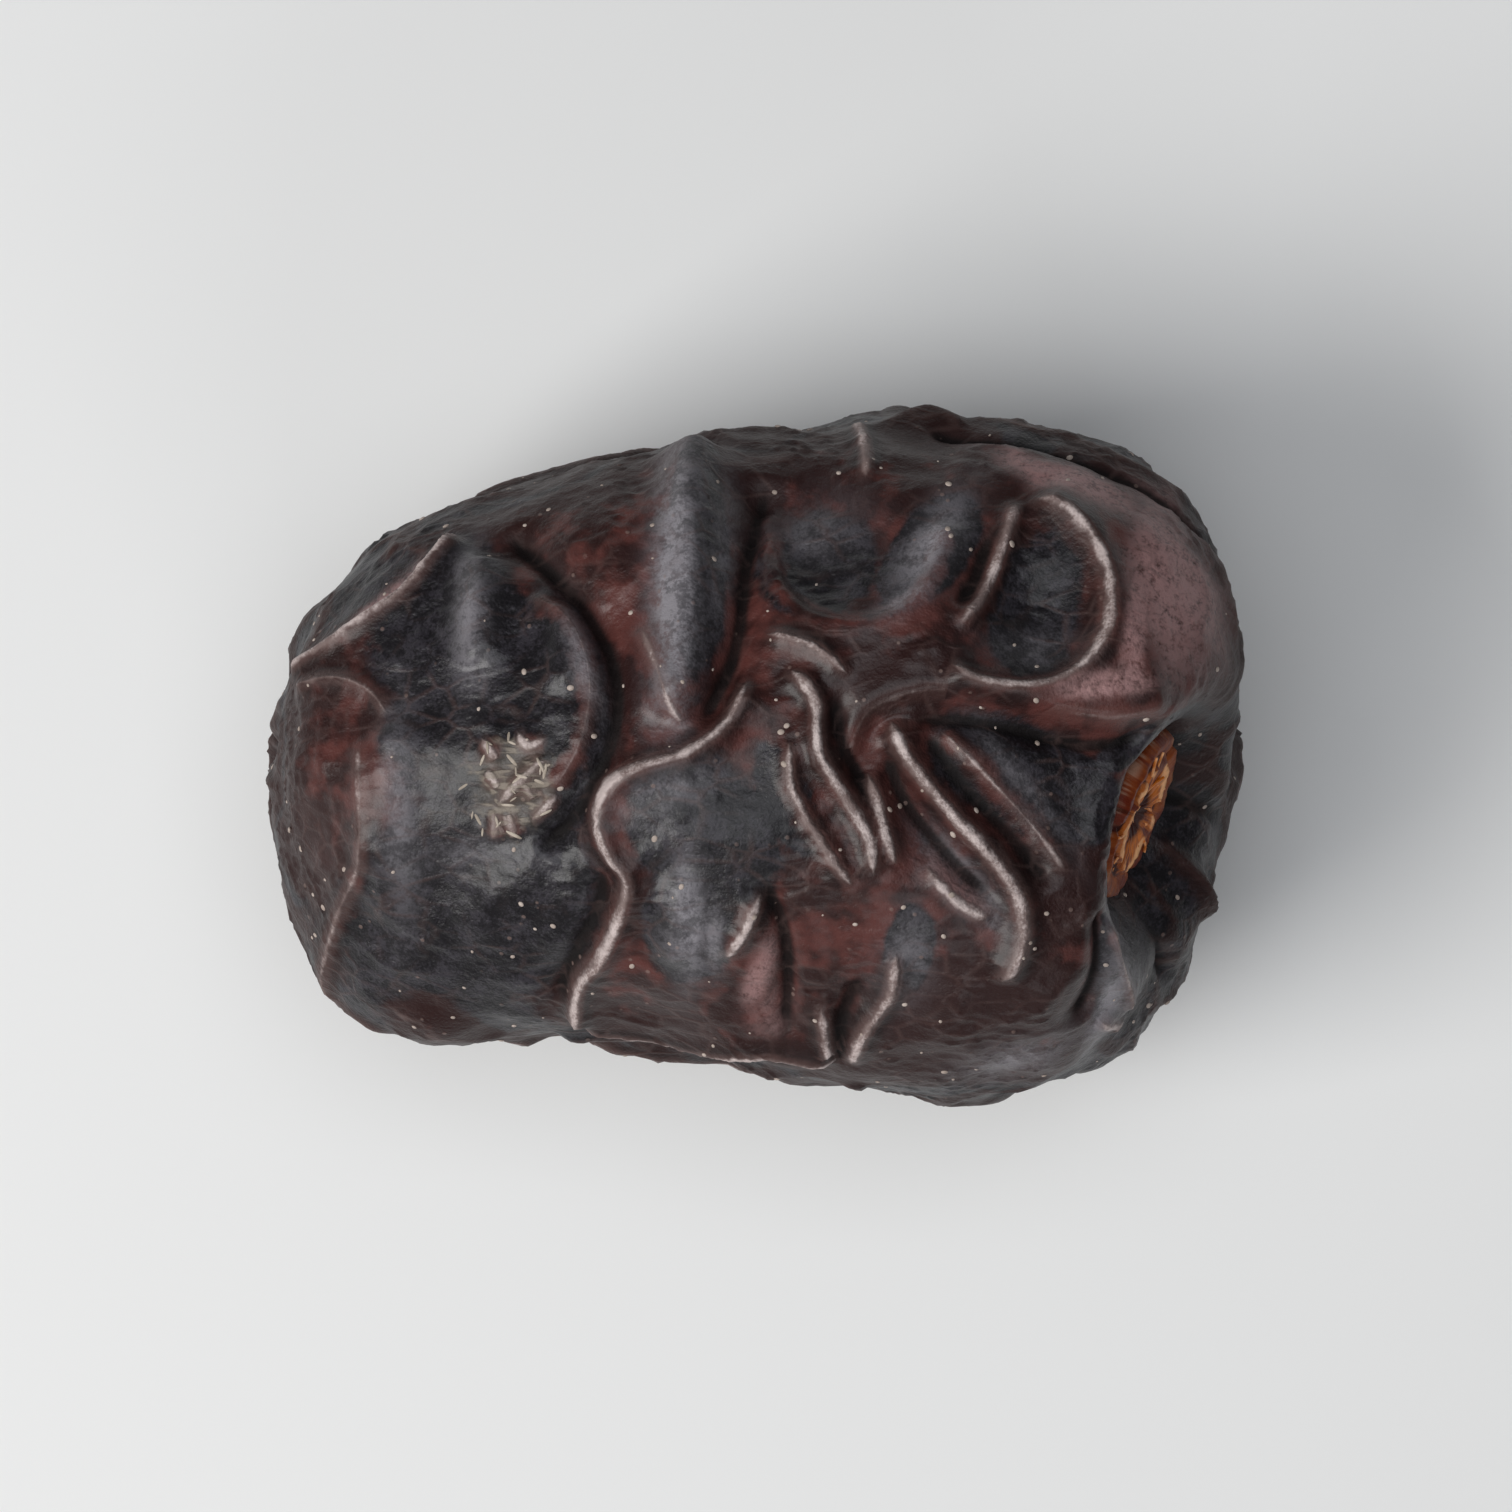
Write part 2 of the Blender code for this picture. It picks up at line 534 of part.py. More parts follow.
def make_calyx(parts, scale, shift):
    bm = bmesh.new()
    bmesh.ops.create_uvsphere(bm, u_segments=CALYX_AROUND, v_segments=CALYX_RINGS, radius=1.0)
    ways = np.array([v.co for v in bm.verts])
    polar = np.arccos(np.clip(np.abs(ways[:, 2]), 0.0, 1.0))
    turn = np.arctan2(ways[:, 1], ways[:, 0])
    share = np.minimum(polar / (math.pi / 2), 1.0)
    notch = np.exp(-((np.cos(1.5 * (turn - OUTER_SCALES)) / 0.25) ** 2))
    ragged = 1.0 - 0.08 * notch * smoothstep(0.6, 1.0, share)
    away = CALYX_RADIUS * share * ragged
    edge_round = 0.5 * CALYX_THICKNESS * smoothstep(0.9, 1.0, share)
    upper = CALYX_THICKNESS - edge_round + calyx_height(share, turn)
    height = np.where(ways[:, 2] > 1e-6, upper, edge_round)
    height = np.where(np.abs(ways[:, 2]) <= 1e-6, 0.5 * CALYX_THICKNESS, height)
    points = np.stack([away * np.cos(turn), away * np.sin(turn), height], axis=1)
    for vertex, point in zip(bm.verts, points * MM):
        vertex.co = point
    calyx = finished_object("calyx_base", bm, parts, material("calyx_wood", CALYX_COLOUR, 0.5))
    place_on_hollow(calyx, scale, shift, HOLLOW_DEPTH + CALYX_SEAT - GAP)


def main():
    for thing in list(bpy.data.objects):
        bpy.data.objects.remove(thing)
    parts = bpy.data.collections.new("ajwa_date")
    cutters = bpy.data.collections.new("cutters")
    for collection in (parts, cutters):
        bpy.context.scene.collection.children.link(collection)
    scale, shift = make_fruit(parts, cutters)
    make_calyx(parts, scale, shift)


main()
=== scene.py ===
"""A soft dried Ajwa date on a pale floor: its wrinkled skin, its woody calyx, and what clings to the skin.

The skin repeats the solid's own surface at a finer grain. Shapes are worked out in millimetres, with the
middle of the date at zero, and placed in metres over the flat spot that the date lies on.
"""

import math
from collections import namedtuple

import bmesh
import bpy
import numpy as np
from mathutils import Euler, Matrix, Vector


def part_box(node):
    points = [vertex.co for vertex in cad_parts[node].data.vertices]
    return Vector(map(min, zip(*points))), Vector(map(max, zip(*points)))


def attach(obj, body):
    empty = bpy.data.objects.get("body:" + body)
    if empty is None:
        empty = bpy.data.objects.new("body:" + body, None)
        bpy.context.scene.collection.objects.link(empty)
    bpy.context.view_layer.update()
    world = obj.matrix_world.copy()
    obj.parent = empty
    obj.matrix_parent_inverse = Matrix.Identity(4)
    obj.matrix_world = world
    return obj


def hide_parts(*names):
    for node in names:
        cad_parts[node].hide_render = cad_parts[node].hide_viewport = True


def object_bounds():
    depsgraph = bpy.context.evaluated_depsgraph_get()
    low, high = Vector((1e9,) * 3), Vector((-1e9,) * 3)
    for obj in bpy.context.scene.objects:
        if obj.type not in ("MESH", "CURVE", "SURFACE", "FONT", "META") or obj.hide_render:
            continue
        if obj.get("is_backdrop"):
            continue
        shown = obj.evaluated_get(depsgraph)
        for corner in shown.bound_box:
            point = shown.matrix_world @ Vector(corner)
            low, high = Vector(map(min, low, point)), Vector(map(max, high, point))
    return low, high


bl_info = {
    "name": "Ajwa Date",
    "version": (1, 0, 0),
    "blender": (4, 5, 0),
    "location": "View3D > Sidebar > Ajwa Date",
    "description": "Builds a wrinkled dried date with its calyx, and lights it on a pale floor",
    "category": "Object",
}

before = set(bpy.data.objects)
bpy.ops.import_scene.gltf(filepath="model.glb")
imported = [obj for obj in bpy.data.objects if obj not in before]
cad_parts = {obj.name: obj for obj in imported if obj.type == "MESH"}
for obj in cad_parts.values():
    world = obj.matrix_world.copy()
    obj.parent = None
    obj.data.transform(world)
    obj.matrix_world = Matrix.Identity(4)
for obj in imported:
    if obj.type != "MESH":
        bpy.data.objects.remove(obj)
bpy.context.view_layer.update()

MM = 0.001

# Size of the fruit, from the solid it stands for, in millimetres
SOLID_LOW, SOLID_HIGH = (np.array(corner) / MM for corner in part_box("date_fruit"))
INSET = 0.01
FLAT_SINK = 0.42

# Plain body under the wrinkles: a blunt barrel, stouter towards the stem end
HALF = np.array([15.0, 9.75, 9.9])
BLUNTNESS = 3.0
TAPER = np.array([0.0, 0.2, 0.12])

# Hollow of the stem end, and the calyx base that sits in it
HOLLOW_WAY = (0.81, -0.19, 0.44)
HOLLOW_TILT = math.radians(13.0)
HOLLOW_TURN = math.radians(-22.0)
HOLLOW_RADIUS = 3.4
HOLLOW_DEPTH = 2.9
LIP_HEIGHT = 0.35
LIP_WIDTH = 1.1
CALYX_RADIUS = 2.8
CALYX_THICKNESS = 0.55
INNER_SCALES = math.radians(195.0)
OUTER_SCALES = math.radians(135.0)
CALYX_SEAT = 0.4
GAP = 0.3

# How the skin wrinkles away from the folds that are listed one by one
NET_CELLS = 120
NET_HEIGHT = 0.75
NET_WIDTH = 0.42
NET_STRETCH = 0.5
NET_SAG = 0.30
NET_SPREAD = 0.9
LONG_FOLDS = 16
LONG_FOLD_POINTS = 7
SPOKES = 9
SPOKE_WIDTH = 0.3
TIP_WAY = (-1.0, 0.03, -0.05)
CREST_TIP = 0.13
STEP_REACH = 1.3
FOLD_REACH = 7.0
FADE = 0.7
SAMPLE = 0.12

# How far from a fold its pale line, its dark bottom of painted shade and its loose skin are marked
LINE_REACH = 0.8
NET_LINE = 0.13
BOTTOM_WIDTH = 0.24
HALO_WIDTH = 0.75

# How pale and how wide the lines of the long folds and the spokes are
FREE_LINES = (0.5, 0.7)
SPOKE_LINES = (0.3, 0.6)

# Fineness of the meshes
SKIN_CUTS = 126
TOP_SHARE = 0.2
CALYX_AROUND = 120
CALYX_RINGS = 44
FIBRE_SIDES = 5
FIBRE_STEPS = 6
CRUMB_CUTS = 2
GOLDEN_ANGLE = math.pi * (3.0 - math.sqrt(5.0))

# Middle in plan and radius of the frayed patch
FRAYED_PATCH = (-7.4, -0.9, 1.7)

# Heights above which specks cling, and above which the frayed patch lies
SPECK_FLOOR = 1.5
TOP_HALF = 10.0

# Width, length and height of the longest shreds, and the same of a speck against its size
SHRED_SHAPE = (0.00014, 0.0006, 0.00007)
SPECK_SHAPE = (0.8, 1.0, 0.45)
PALE_SPECK = (0.5, 0.42, 0.37)
PALE_SHRED = (0.50, 0.43, 0.36)

# Fibres of the calyx: how many and how thick they are is set in the sidebar. Here each run has its seed,
# start and end as shares of the calyx's radius, height and rise in millimetres, and share of the thickness
FIBRE_RUNS = {
    "calyx_strands": (3, 0.10, 0.55, 0.5, 0.3, 1.0),
    "calyx_bristles": (11, 0.66, 0.93, 0.72, -0.05, 0.9),
}

# Soft lights, each with its place and size in metres, and its colour
SOFTBOXES = {
    "top": ((0.0, 0.02, 0.42), (0.30, 0.30), (0.93, 0.96, 1.0)),
    "key": ((-0.24, -0.10, 0.26), (0.20, 0.20), (1.0, 0.99, 0.97)),
    "front": ((0.06, -0.29, 0.20), (0.16, 0.12), (0.97, 0.98, 1.0)),
}
SKY_COLOUR = (0.95, 0.97, 1.0, 1.0)
FLOOR_HALF = 2.0
FLOOR_DROP = 0.00001
SENSOR = 36.0

hollow_fit = {}

# A fold of the skin. lift is how much higher the skin stands on its left than on its right, pale is how
# pale the line along its crest is from 0 to 1, line is how wide that is against a usual one, and path
# runs over the body, in millimetres.
Fold = namedtuple("Fold", "form height width lift pale line path")

# The folds of the upper side. Their points are in plan, seen from above: x along the date, y across it.
# The frayed ones are the small crumpled crests of the frayed patch.
SEEN_FOLDS = {
    "left_shoulder": ("crest", 0.72, 0.42, 0.45, 1.0, 1.35, (-9.0, 6.6), (-10.7, 5.0), (-12.5, 3.7),
        (-14.2, 2.5)),
    "left_hook": ("crest", 0.28, 0.3, 0.0, 0.5, 1.0, (-14.1, 2.0), (-12.9, 2.4), (-11.9, 2.1),
        (-11.2, 1.2)),
    "left_roll": ("roll", 0.55, 0.75, 0.0, 0.0, 1.0, (-8.3, 6.2), (-8.4, 4.6), (-8.5, 2.8)),
    "left_roll_right": ("roll", 0.35, 0.6, 0.0, 0.0, 1.0, (-6.0, 4.9), (-5.7, 3.6), (-5.8, 2.0)),
    "left_end_roll": ("roll", 0.38, 0.75, 0.0, 0.0, 1.0, (-11.2, 1.2), (-11.3, -1.6), (-11.2, -5.0)),
    "left_band": ("crest", 0.3, 0.42, 0.15, 0.5, 1.1, (-10.6, -7.7), (-11.7, -7.1), (-12.6, -6.0),
        (-12.7, -4.6), (-11.9, -2.6), (-12.0, 0.6)),
    "left_panel_crease": ("crease", 0.6, 0.4, 0.0, 0.0, 1.0, (-7.6, 6.8), (-6.1, 5.6), (-4.9, 4.2),
        (-4.3, 2.8), (-4.2, 1.3), (-4.7, -0.4), (-5.6, -1.9), (-6.6, -2.9)),
    "left_panel_rim": ("crest", 0.26, 0.32, 0.0, 0.35, 0.9, (-6.9, 5.0), (-5.5, 3.9), (-5.0, 2.3),
        (-5.3, 0.5), (-6.3, -1.2)),
    "middle_crest": ("crest", 0.6, 0.32, 0.6, 0.9, 1.05, (-0.1, 2.4), (-0.9, 1.0), (-2.1, 0.2),
        (-3.5, -0.2), (-4.5, -0.8), (-4.8, -1.8), (-4.4, -2.8), (-3.9, -3.4), (-4.1, -4.5), (-4.7, -5.8),
        (-5.4, -6.7), (-5.6, -8.1)),
    "middle_crease": ("crease", 0.35, 0.3, 0.0, 0.0, 1.0, (-4.6, -3.3), (-4.8, -4.6), (-5.5, -6.0),
        (-6.1, -7.4)),
    "bottom_crest": ("crest", 0.5, 0.35, 0.6, 0.9, 1.2, (-5.5, -8.2), (-4.1, -8.5), (-2.8, -8.75),
        (-1.2, -8.7), (0.2, -8.5), (1.3, -8.6), (2.8, -8.9)),
    "long_roll": ("roll", 0.9, 0.95, 0.0, 0.0, 1.0, (-1.9, 8.8), (-1.9, 6.4), (-2.1, 4.1), (-2.2, 2.4),
        (-2.1, 1.4)),
    "roll_valley": ("crease", 0.75, 0.55, 0.0, 0.0, 1.0, (0.4, 8.2), (-0.2, 6.0), (-0.4, 4.1), (-0.8, 2.6),
        (-1.6, 1.1)),
    "roll_edge": ("crest", 0.2, 0.3, 0.0, 0.55, 1.1, (-3.5, 4.1), (-3.0, 2.8), (-2.5, 1.5), (-1.9, 0.9)),
    "bowl_edge": ("crest", 0.3, 0.38, -0.3, 0.0, 1.0, (0.5, 7.8), (0.6, 6.3), (1.0, 5.0), (2.0, 4.2),
        (3.5, 4.0), (4.8, 4.5), (5.6, 5.7), (5.9, 7.1)),
    "short_crest": ("crest", 0.34, 0.3, 0.0, 0.85, 0.85, (0.3, 3.7), (1.7, 3.3), (3.0, 2.4)),
    "wavy_crest": ("crest", 0.5, 0.3, 0.0, 1.0, 1.1, (1.1, 2.7), (1.9, 1.7), (2.0, 0.3), (2.7, -0.9),
        (3.5, -2.2), (3.7, -3.4)),
    "wavy_crease": ("crease", 0.4, 0.28, 0.0, 0.0, 1.0, (2.5, 2.0), (2.7, 0.6), (3.3, -0.6), (4.0, -1.9)),
    "inner_crest": ("crest", 0.38, 0.32, 0.0, 0.9, 0.95, (1.1, 0.7), (1.2, -0.8), (2.1, -2.4), (3.1, -3.7)),
    "spur": ("crest", 0.42, 0.28, 0.0, 0.95, 1.0, (4.4, -3.2), (3.9, -1.6), (3.5, -0.3)),
    "long_crest": ("crest", 0.58, 0.33, 0.0, 1.0, 1.2, (4.2, 1.3), (4.7, 0.1), (6.0, -1.5), (7.3, -2.9),
        (8.0, -4.0), (8.1, -5.3), (7.5, -6.4)),
    "wedge_crease": ("crease", 0.55, 0.4, 0.0, 0.0, 1.0, (4.1, 0.3), (4.8, -1.5), (6.2, -3.2), (7.3, -4.2)),
    "outer_crease": ("crease", 0.4, 0.35, 0.0, 0.0, 1.0, (5.2, 0.9), (6.6, -0.9), (8.0, -2.5), (8.8, -3.8)),
    "outer_crest": ("crest", 0.26, 0.36, 0.0, 0.5, 1.0, (5.6, 1.1), (6.9, -0.2), (8.2, -1.6), (9.4, -3.4)),
    "wedge_foot": ("crest", 0.36, 0.34, 0.0, 0.8, 1.2, (5.2, -3.1), (6.3, -4.2), (7.4, -4.7)),
    "pocket_left": ("crest", 0.42, 0.3, 0.0, 1.0, 1.0, (8.1, 7.5), (7.6, 6.1), (7.0, 4.8), (6.3, 3.9)),
    "pocket_left_crease": ("crease", 0.35, 0.3, 0.0, 0.0, 1.0, (7.3, 6.8), (6.9, 5.6), (6.2, 4.5)),
    "pocket_rim": ("crest", 0.52, 0.4, 0.6, 0.8, 0.95, (8.5, 7.5), (9.8, 6.6), (10.6, 5.3), (10.6, 3.8),
        (9.8, 2.7), (8.5, 2.2), (6.9, 2.3), (5.9, 2.8)),
    "big_fold": ("crest", 0.32, 0.36, -0.85, 0.35, 1.0, (12.4, 1.6), (10.5, 1.4), (8.5, 1.7), (6.9, 2.0),
        (5.1, 2.0), (3.8, 1.6), (3.2, 0.9), (2.8, -0.4)),
    "big_fold_crease": ("crease", 0.55, 0.45, 0.0, 0.0, 1.0, (12.2, 0.8), (10.3, 0.6), (8.4, 0.9),
        (6.6, 1.2), (5.0, 1.3)),
    "top_edge_crease": ("crease", 0.32, 0.28, 0.0, 0.0, 1.0, (5.4, 9.9), (8.0, 9.4), (10.6, 8.5),
        (12.6, 7.2), (13.9, 5.6)),
    "top_edge_crest": ("crest", 0.26, 0.3, 0.0, 0.3, 0.9, (6.4, 10.1), (8.8, 9.8), (11.2, 8.7),
        (13.2, 7.3)),
    "right_rim": ("crest", 0.26, 0.42, 0.0, 0.35, 1.2, (13.2, 6.6), (14.0, 5.0), (14.4, 3.2)),
    "top_tick": ("crest", 0.32, 0.26, 0.0, 1.0, 0.95, (3.2, 9.9), (3.5, 9.0), (3.5, 8.2)),
    "lower_tick": ("crest", 0.36, 0.3, 0.0, 0.95, 1.05, (4.4, -5.6), (4.2, -7.0), (3.4, -8.0), (3.0, -9.0)),
    "lower_tick_crease": ("crease", 0.4, 0.3, 0.0, 0.0, 1.0, (3.4, -6.6), (2.8, -7.7), (2.6, -9.0)),
    "lower_tick_left": ("crest", 0.3, 0.28, 0.0, 0.9, 1.0, (2.1, -7.2), (2.4, -8.8)),
    "plateau_roll": ("roll", 0.35, 0.5, 0.0, 0.0, 1.0, (-2.1, -3.2), (-2.4, -4.6), (-2.4, -6.0)),
    "dent_left": ("crest", 0.34, 0.28, 0.0, 0.95, 1.0, (-0.9, -5.7), (-0.2, -4.7), (0.3, -3.7)),
    "dent_crease": ("crease", 0.45, 0.3, 0.0, 0.0, 1.0, (0.3, -3.5), (0.9, -4.8), (1.1, -6.5), (1.0, -8.0)),
    "cheek_crease": ("crease", 0.6, 0.45, 0.0, 0.0, 1.0, (10.6, -4.4), (10.5, -6.0), (10.1, -8.0)),
    "cheek_crest": ("crest", 0.4, 0.35, 0.0, 0.6, 1.1, (11.2, -4.9), (11.7, -6.6), (12.0, -8.0)),
    "cheek_edge": ("crest", 0.36, 0.35, 0.0, 0.85, 1.1, (10.8, -8.0), (12.0, -8.5)),
    "frayed_long": ("crest", 0.26, 0.16, 0.0, 0.95, 0.95, (-8.0, -1.5), (-7.3, -0.8), (-6.2, 0.25)),
    "frayed_upper_left": ("crest", 0.22, 0.18, 0.0, 0.95, 0.95, (-8.4, 0.7), (-8.1, 0.3), (-7.8, -0.1)),
    "frayed_left": ("crest", 0.18, 0.13, 0.0, 0.95, 0.95, (-8.3, -0.3), (-8.0, -0.6), (-7.75, -1.0)),
    "frayed_right": ("crest", 0.2, 0.14, 0.0, 0.95, 0.95, (-7.1, -0.6), (-6.9, -1.0), (-6.6, -1.35)),
    "frayed_lower_right": ("crest", 0.2, 0.15, 0.0, 0.95, 0.95, (-6.0, -1.0), (-6.4, -1.5), (-7.0, -2.0)),
    "frayed_foot": ("crest", 0.2, 0.18, 0.0, 0.95, 0.95, (-8.1, -1.5), (-8.0, -2.0), (-8.1, -2.6)),
    "frayed_foot_right": ("crest", 0.18, 0.14, 0.0, 0.95, 0.95, (-7.6, -1.5), (-7.5, -2.1), (-7.5, -2.6)),
    "frayed_upper": ("crest", 0.12, 0.14, 0.0, 0.95, 0.95, (-7.3, 0.9), (-6.9, 0.4), (-6.3, 0.7)),
}

# Broad swellings and dents seen from above: x, y, radius and height, in millimetres
SEEN_LUMPS = {
    "upper_lobe": (12.2, 5.6, 4.2, 0.70),
    "upper_band": (-3.5, 7.4, 3.4, 0.35),
    "middle_plateau": (-1.8, -4.0, 3.8, 0.40),
    "left_panel_dent": (-8.6, -1.0, 4.4, -0.60),
    "left_end": (-13.2, -1.5, 3.0, 0.35),
    "lower_left_corner": (-11.2, -7.2, 3.0, 1.3),
    "bowl_dent": (2.6, 6.3, 2.2, -0.65),
    "pocket_dent": (8.8, 4.5, 1.8, -0.90),
    "calyx_side_dent": (9.9, -0.9, 2.5, -0.85),
    "wedge_dent": (5.4, -1.6, 1.6, -0.35),
    "lower_cheek": (9.2, -7.2, 3.0, 0.35),
    "corner_fall": (13.6, -6.5, 3.6, -1.5),
    "side_fall": (14.5, -2.6, 2.8, -0.8),
    "bottom_fall": (-2.0, -9.6, 3.2, -0.90),
    "upper_edge": (-0.6, 9.4, 2.2, 0.55),
    "upper_corner": (13.2, 7.2, 2.4, 0.50),
}

# Where the skin clings to the flesh and shows dark grey, seen from above: ellipses as x, y, turn in
# degrees, half length and half width. Round them it stands off and shows red-brown.
CLINGING_SKIN = {
    "left_panel": (-8.9, 2.2, 100.0, 4.6, 2.9),
    "left_panel_low": (-8.6, -4.4, 12.0, 4.1, 3.7),
    "left_panel_right": (-6.0, 1.5, 95.0, 4.0, 1.5),
    "long_roll": (-1.7, 5.6, 88.0, 3.4, 1.0),
    "bowl": (2.0, 5.9, 20.0, 2.0, 1.7),
    "bowl_right": (5.4, 6.2, 50.0, 2.2, 1.2),
    "pocket": (8.7, 4.6, 80.0, 2.2, 1.5),
    "plateau": (-1.4, -2.2, 130.0, 2.8, 2.2),
    "plateau_low": (-2.0, -4.8, 90.0, 1.9, 1.5),
    "calyx_side": (8.6, -0.6, -25.0, 3.4, 1.7),
    "calyx_top": (12.5, 0.6, 20.0, 2.2, 0.7),
    "cheek": (12.4, -4.6, 70.0, 3.8, 1.4),
    "wavy_side": (1.0, -1.2, 115.0, 1.8, 0.8),
    "lower_facet": (4.8, -5.6, 80.0, 1.4, 0.8),
}

# Where the skin stands off so far that it turns pale and pinkish, partly as painted highlight, given the same
# way
PALE_SKIN = {
    "upper_lobe": (12.5, 5.0, 100.0, 3.3, 1.7),
    "lobe_top": (9.6, 8.0, -25.0, 3.0, 0.7),
    "lobe_foot": (10.2, 2.2, 5.0, 2.0, 0.5),
    "dent_side": (0.2, -6.3, 72.0, 1.6, 0.6, 0.8),
    "dent_foot": (0.5, -7.4, 15.0, 1.2, 0.8, 0.65),
    "wedge_foot": (6.2, -3.7, -45.0, 1.2, 0.45),
    "shoulder": (-12.0, 4.5, 38.0, 2.6, 0.5),
    "rim_side": (11.4, 3.9, 82.0, 2.2, 0.5),
    "left_end": (-13.3, -2.4, 92.0, 3.4, 1.0, 0.22),
}

# Painted shade: where the thin skin is darkened as if in shadow, given the same way
PAINTED_SHADE = {
    "lower_right": (6.8, -7.6, 15.0, 4.0, 2.0),
    "fold_foot": (4.0, 2.2, 10.0, 2.6, 0.8),
    "under_roll": (-4.2, 1.6, 80.0, 1.6, 0.8),
    "calyx_foot": (9.6, -3.6, 60.0, 2.0, 1.2),
}

# Painted sheen on the clinging skin, pale grey-blue like a waxy bloom, given the same way and with its
# strength
SHEEN_PATCHES = {
    "left_strip": (-10.9, -1.6, 92.0, 2.6, 0.4, 0.6),
    "left_roll": (-8.7, 4.2, 88.0, 1.9, 0.5, 0.7),
    "panel_right": (-5.2, 3.0, 108.0, 1.4, 0.35, 0.9),
    "panel_foot": (-8.8, -2.9, 10.0, 1.5, 0.5, 0.3),
    "long_roll": (-2.4, 4.8, 88.0, 3.5, 0.6, 1.5),
    "roll_right": (-0.9, 6.2, 85.0, 2.0, 0.35, 0.5),
    "bowl": (1.9, 7.0, 10.0, 1.6, 0.9, 0.3),
    "bowl_right": (5.5, 6.4, 55.0, 1.4, 0.6, 1.0),
    "bowl_foot": (4.7, 4.7, 30.0, 1.0, 0.35, 0.8),
    "pocket_foot": (8.6, 3.4, 0.0, 1.3, 0.6, 0.4),
    "plateau": (-2.8, -0.9, 20.0, 1.6, 0.6, 0.45),
    "plateau_low": (-2.0, -4.6, 92.0, 1.5, 0.45, 1.2),
    "plateau_foot": (-1.2, -5.2, 92.0, 0.9, 0.3, 0.8),
    "wedge": (6.3, -3.6, -48.0, 1.5, 0.5, 1.0),
    "calyx_side": (8.3, -0.9, -55.0, 2.0, 0.35, 0.5),
    "lower_facet": (4.7, -5.9, 75.0, 1.2, 0.7, 0.5),
    "cheek": (12.2, -5.2, 75.0, 2.4, 0.8, 1.6),
    "cheek_edge": (11.2, -7.6, 70.0, 1.5, 0.4, 1.8),
    "cheek_foot": (8.2, -9.0, 15.0, 1.6, 0.6, 0.7),
}


def smoothstep(low, high, value):
    share = np.clip((value - low) / (high - low), 0.0, 1.0)
    return share * share * (3.0 - 2.0 * share)


def bell(value):
    return np.exp(-(value**2))


def unit(vectors):
    return vectors / np.maximum(np.linalg.norm(vectors, axis=-1, keepdims=True), 1e-12)


def noise(points, seed):
    """Smooth repeatable noise from -1 to 1, with a wavelength of about 2 units."""
    cell = np.floor(points).astype(np.int64)
    part = points - cell
    part = part * part * part * (part * (part * 6.0 - 15.0) + 10.0)
    total = np.zeros(len(points))
    for corner in range(8):
        step = np.array([corner & 1, corner >> 1 & 1, corner >> 2 & 1])
        x, y, z = (cell + step).T
        mixed = (x * 374761393 + y * 668265263 + z * 1442695041 + seed * 974711) & 0xFFFFFFFF
        mixed = ((mixed ^ (mixed >> 13)) * 1274126177) & 0xFFFFFFFF
        value = ((mixed ^ (mixed >> 16)) & 0xFFFF) / 32767.5 - 1.0
        total += value * np.prod(np.where(step, part, 1.0 - part), axis=1)
    return total


def wobble(points, size, seed):
    """A smooth noise vector for each point."""
    return np.stack([noise(points / size, seed + axis) for axis in range(3)], axis=1)


def body_scale(x):
    """Half sizes of the body at each x, which grow towards the stem end."""
    return HALF * (1.0 + TAPER * (x / HALF[0])[:, None])


def body_point(way):
    """The point of the plain body that lies in each direction from its middle."""
    way = unit(np.asarray(way, float))
    around = np.hypot(way[:, 1], way[:, 2])
    reach = (np.abs(way[:, 0]) ** BLUNTNESS + around**BLUNTNESS) ** (-1.0 / BLUNTNESS)
    flat = way * reach[:, None]
    return flat * body_scale(flat[:, 0] * HALF[0])


def body_normal(points):
    x, y, z = (points / body_scale(points[:, 0])).T
    around = np.hypot(y, z) ** (BLUNTNESS - 2.0)
    slope = np.stack([np.sign(x) * np.abs(x) ** (BLUNTNESS - 1.0), y * around, z * around], axis=1)
    return unit(slope / HALF)


def top_of_body(plan):
    """The points of the body's upper side that lie under points drawn in plan."""
    plan = np.asarray(plan, float)
    scale = body_scale(plan[:, 0])
    round_share = (1.0 - np.minimum(np.abs(plan[:, 0] / HALF[0]), 0.999) ** BLUNTNESS) ** (1.0 / BLUNTNESS)
    across = np.clip(plan[:, 1] / scale[:, 1], -0.995 * round_share, 0.995 * round_share)
    up = scale[:, 2] * np.sqrt(round_share**2 - across**2)
    return np.stack([plan[:, 0], across * scale[:, 1], up], axis=1)


def smooth_path(points):
    """Close samples of a smooth curve through the points."""
    points = np.asarray(points, float)
    ends = np.concatenate([[2 * points[0] - points[1]], points, [2 * points[-1] - points[-2]]])
    samples = []
    for a, b, c, d in zip(ends, ends[1:], ends[2:], ends[3:]):
        count = max(2, int(np.linalg.norm(c - b) / SAMPLE))
        t = np.linspace(0.0, 1.0, count, endpoint=False)[:, None]
        square, cube = 2 * a - 5 * b + 4 * c - d, 3 * b - a - 3 * c + d
        samples.append(0.5 * (2 * b + (c - a) * t + square * t**2 + cube * t**3))
    return np.concatenate(samples + [points[-1:]])


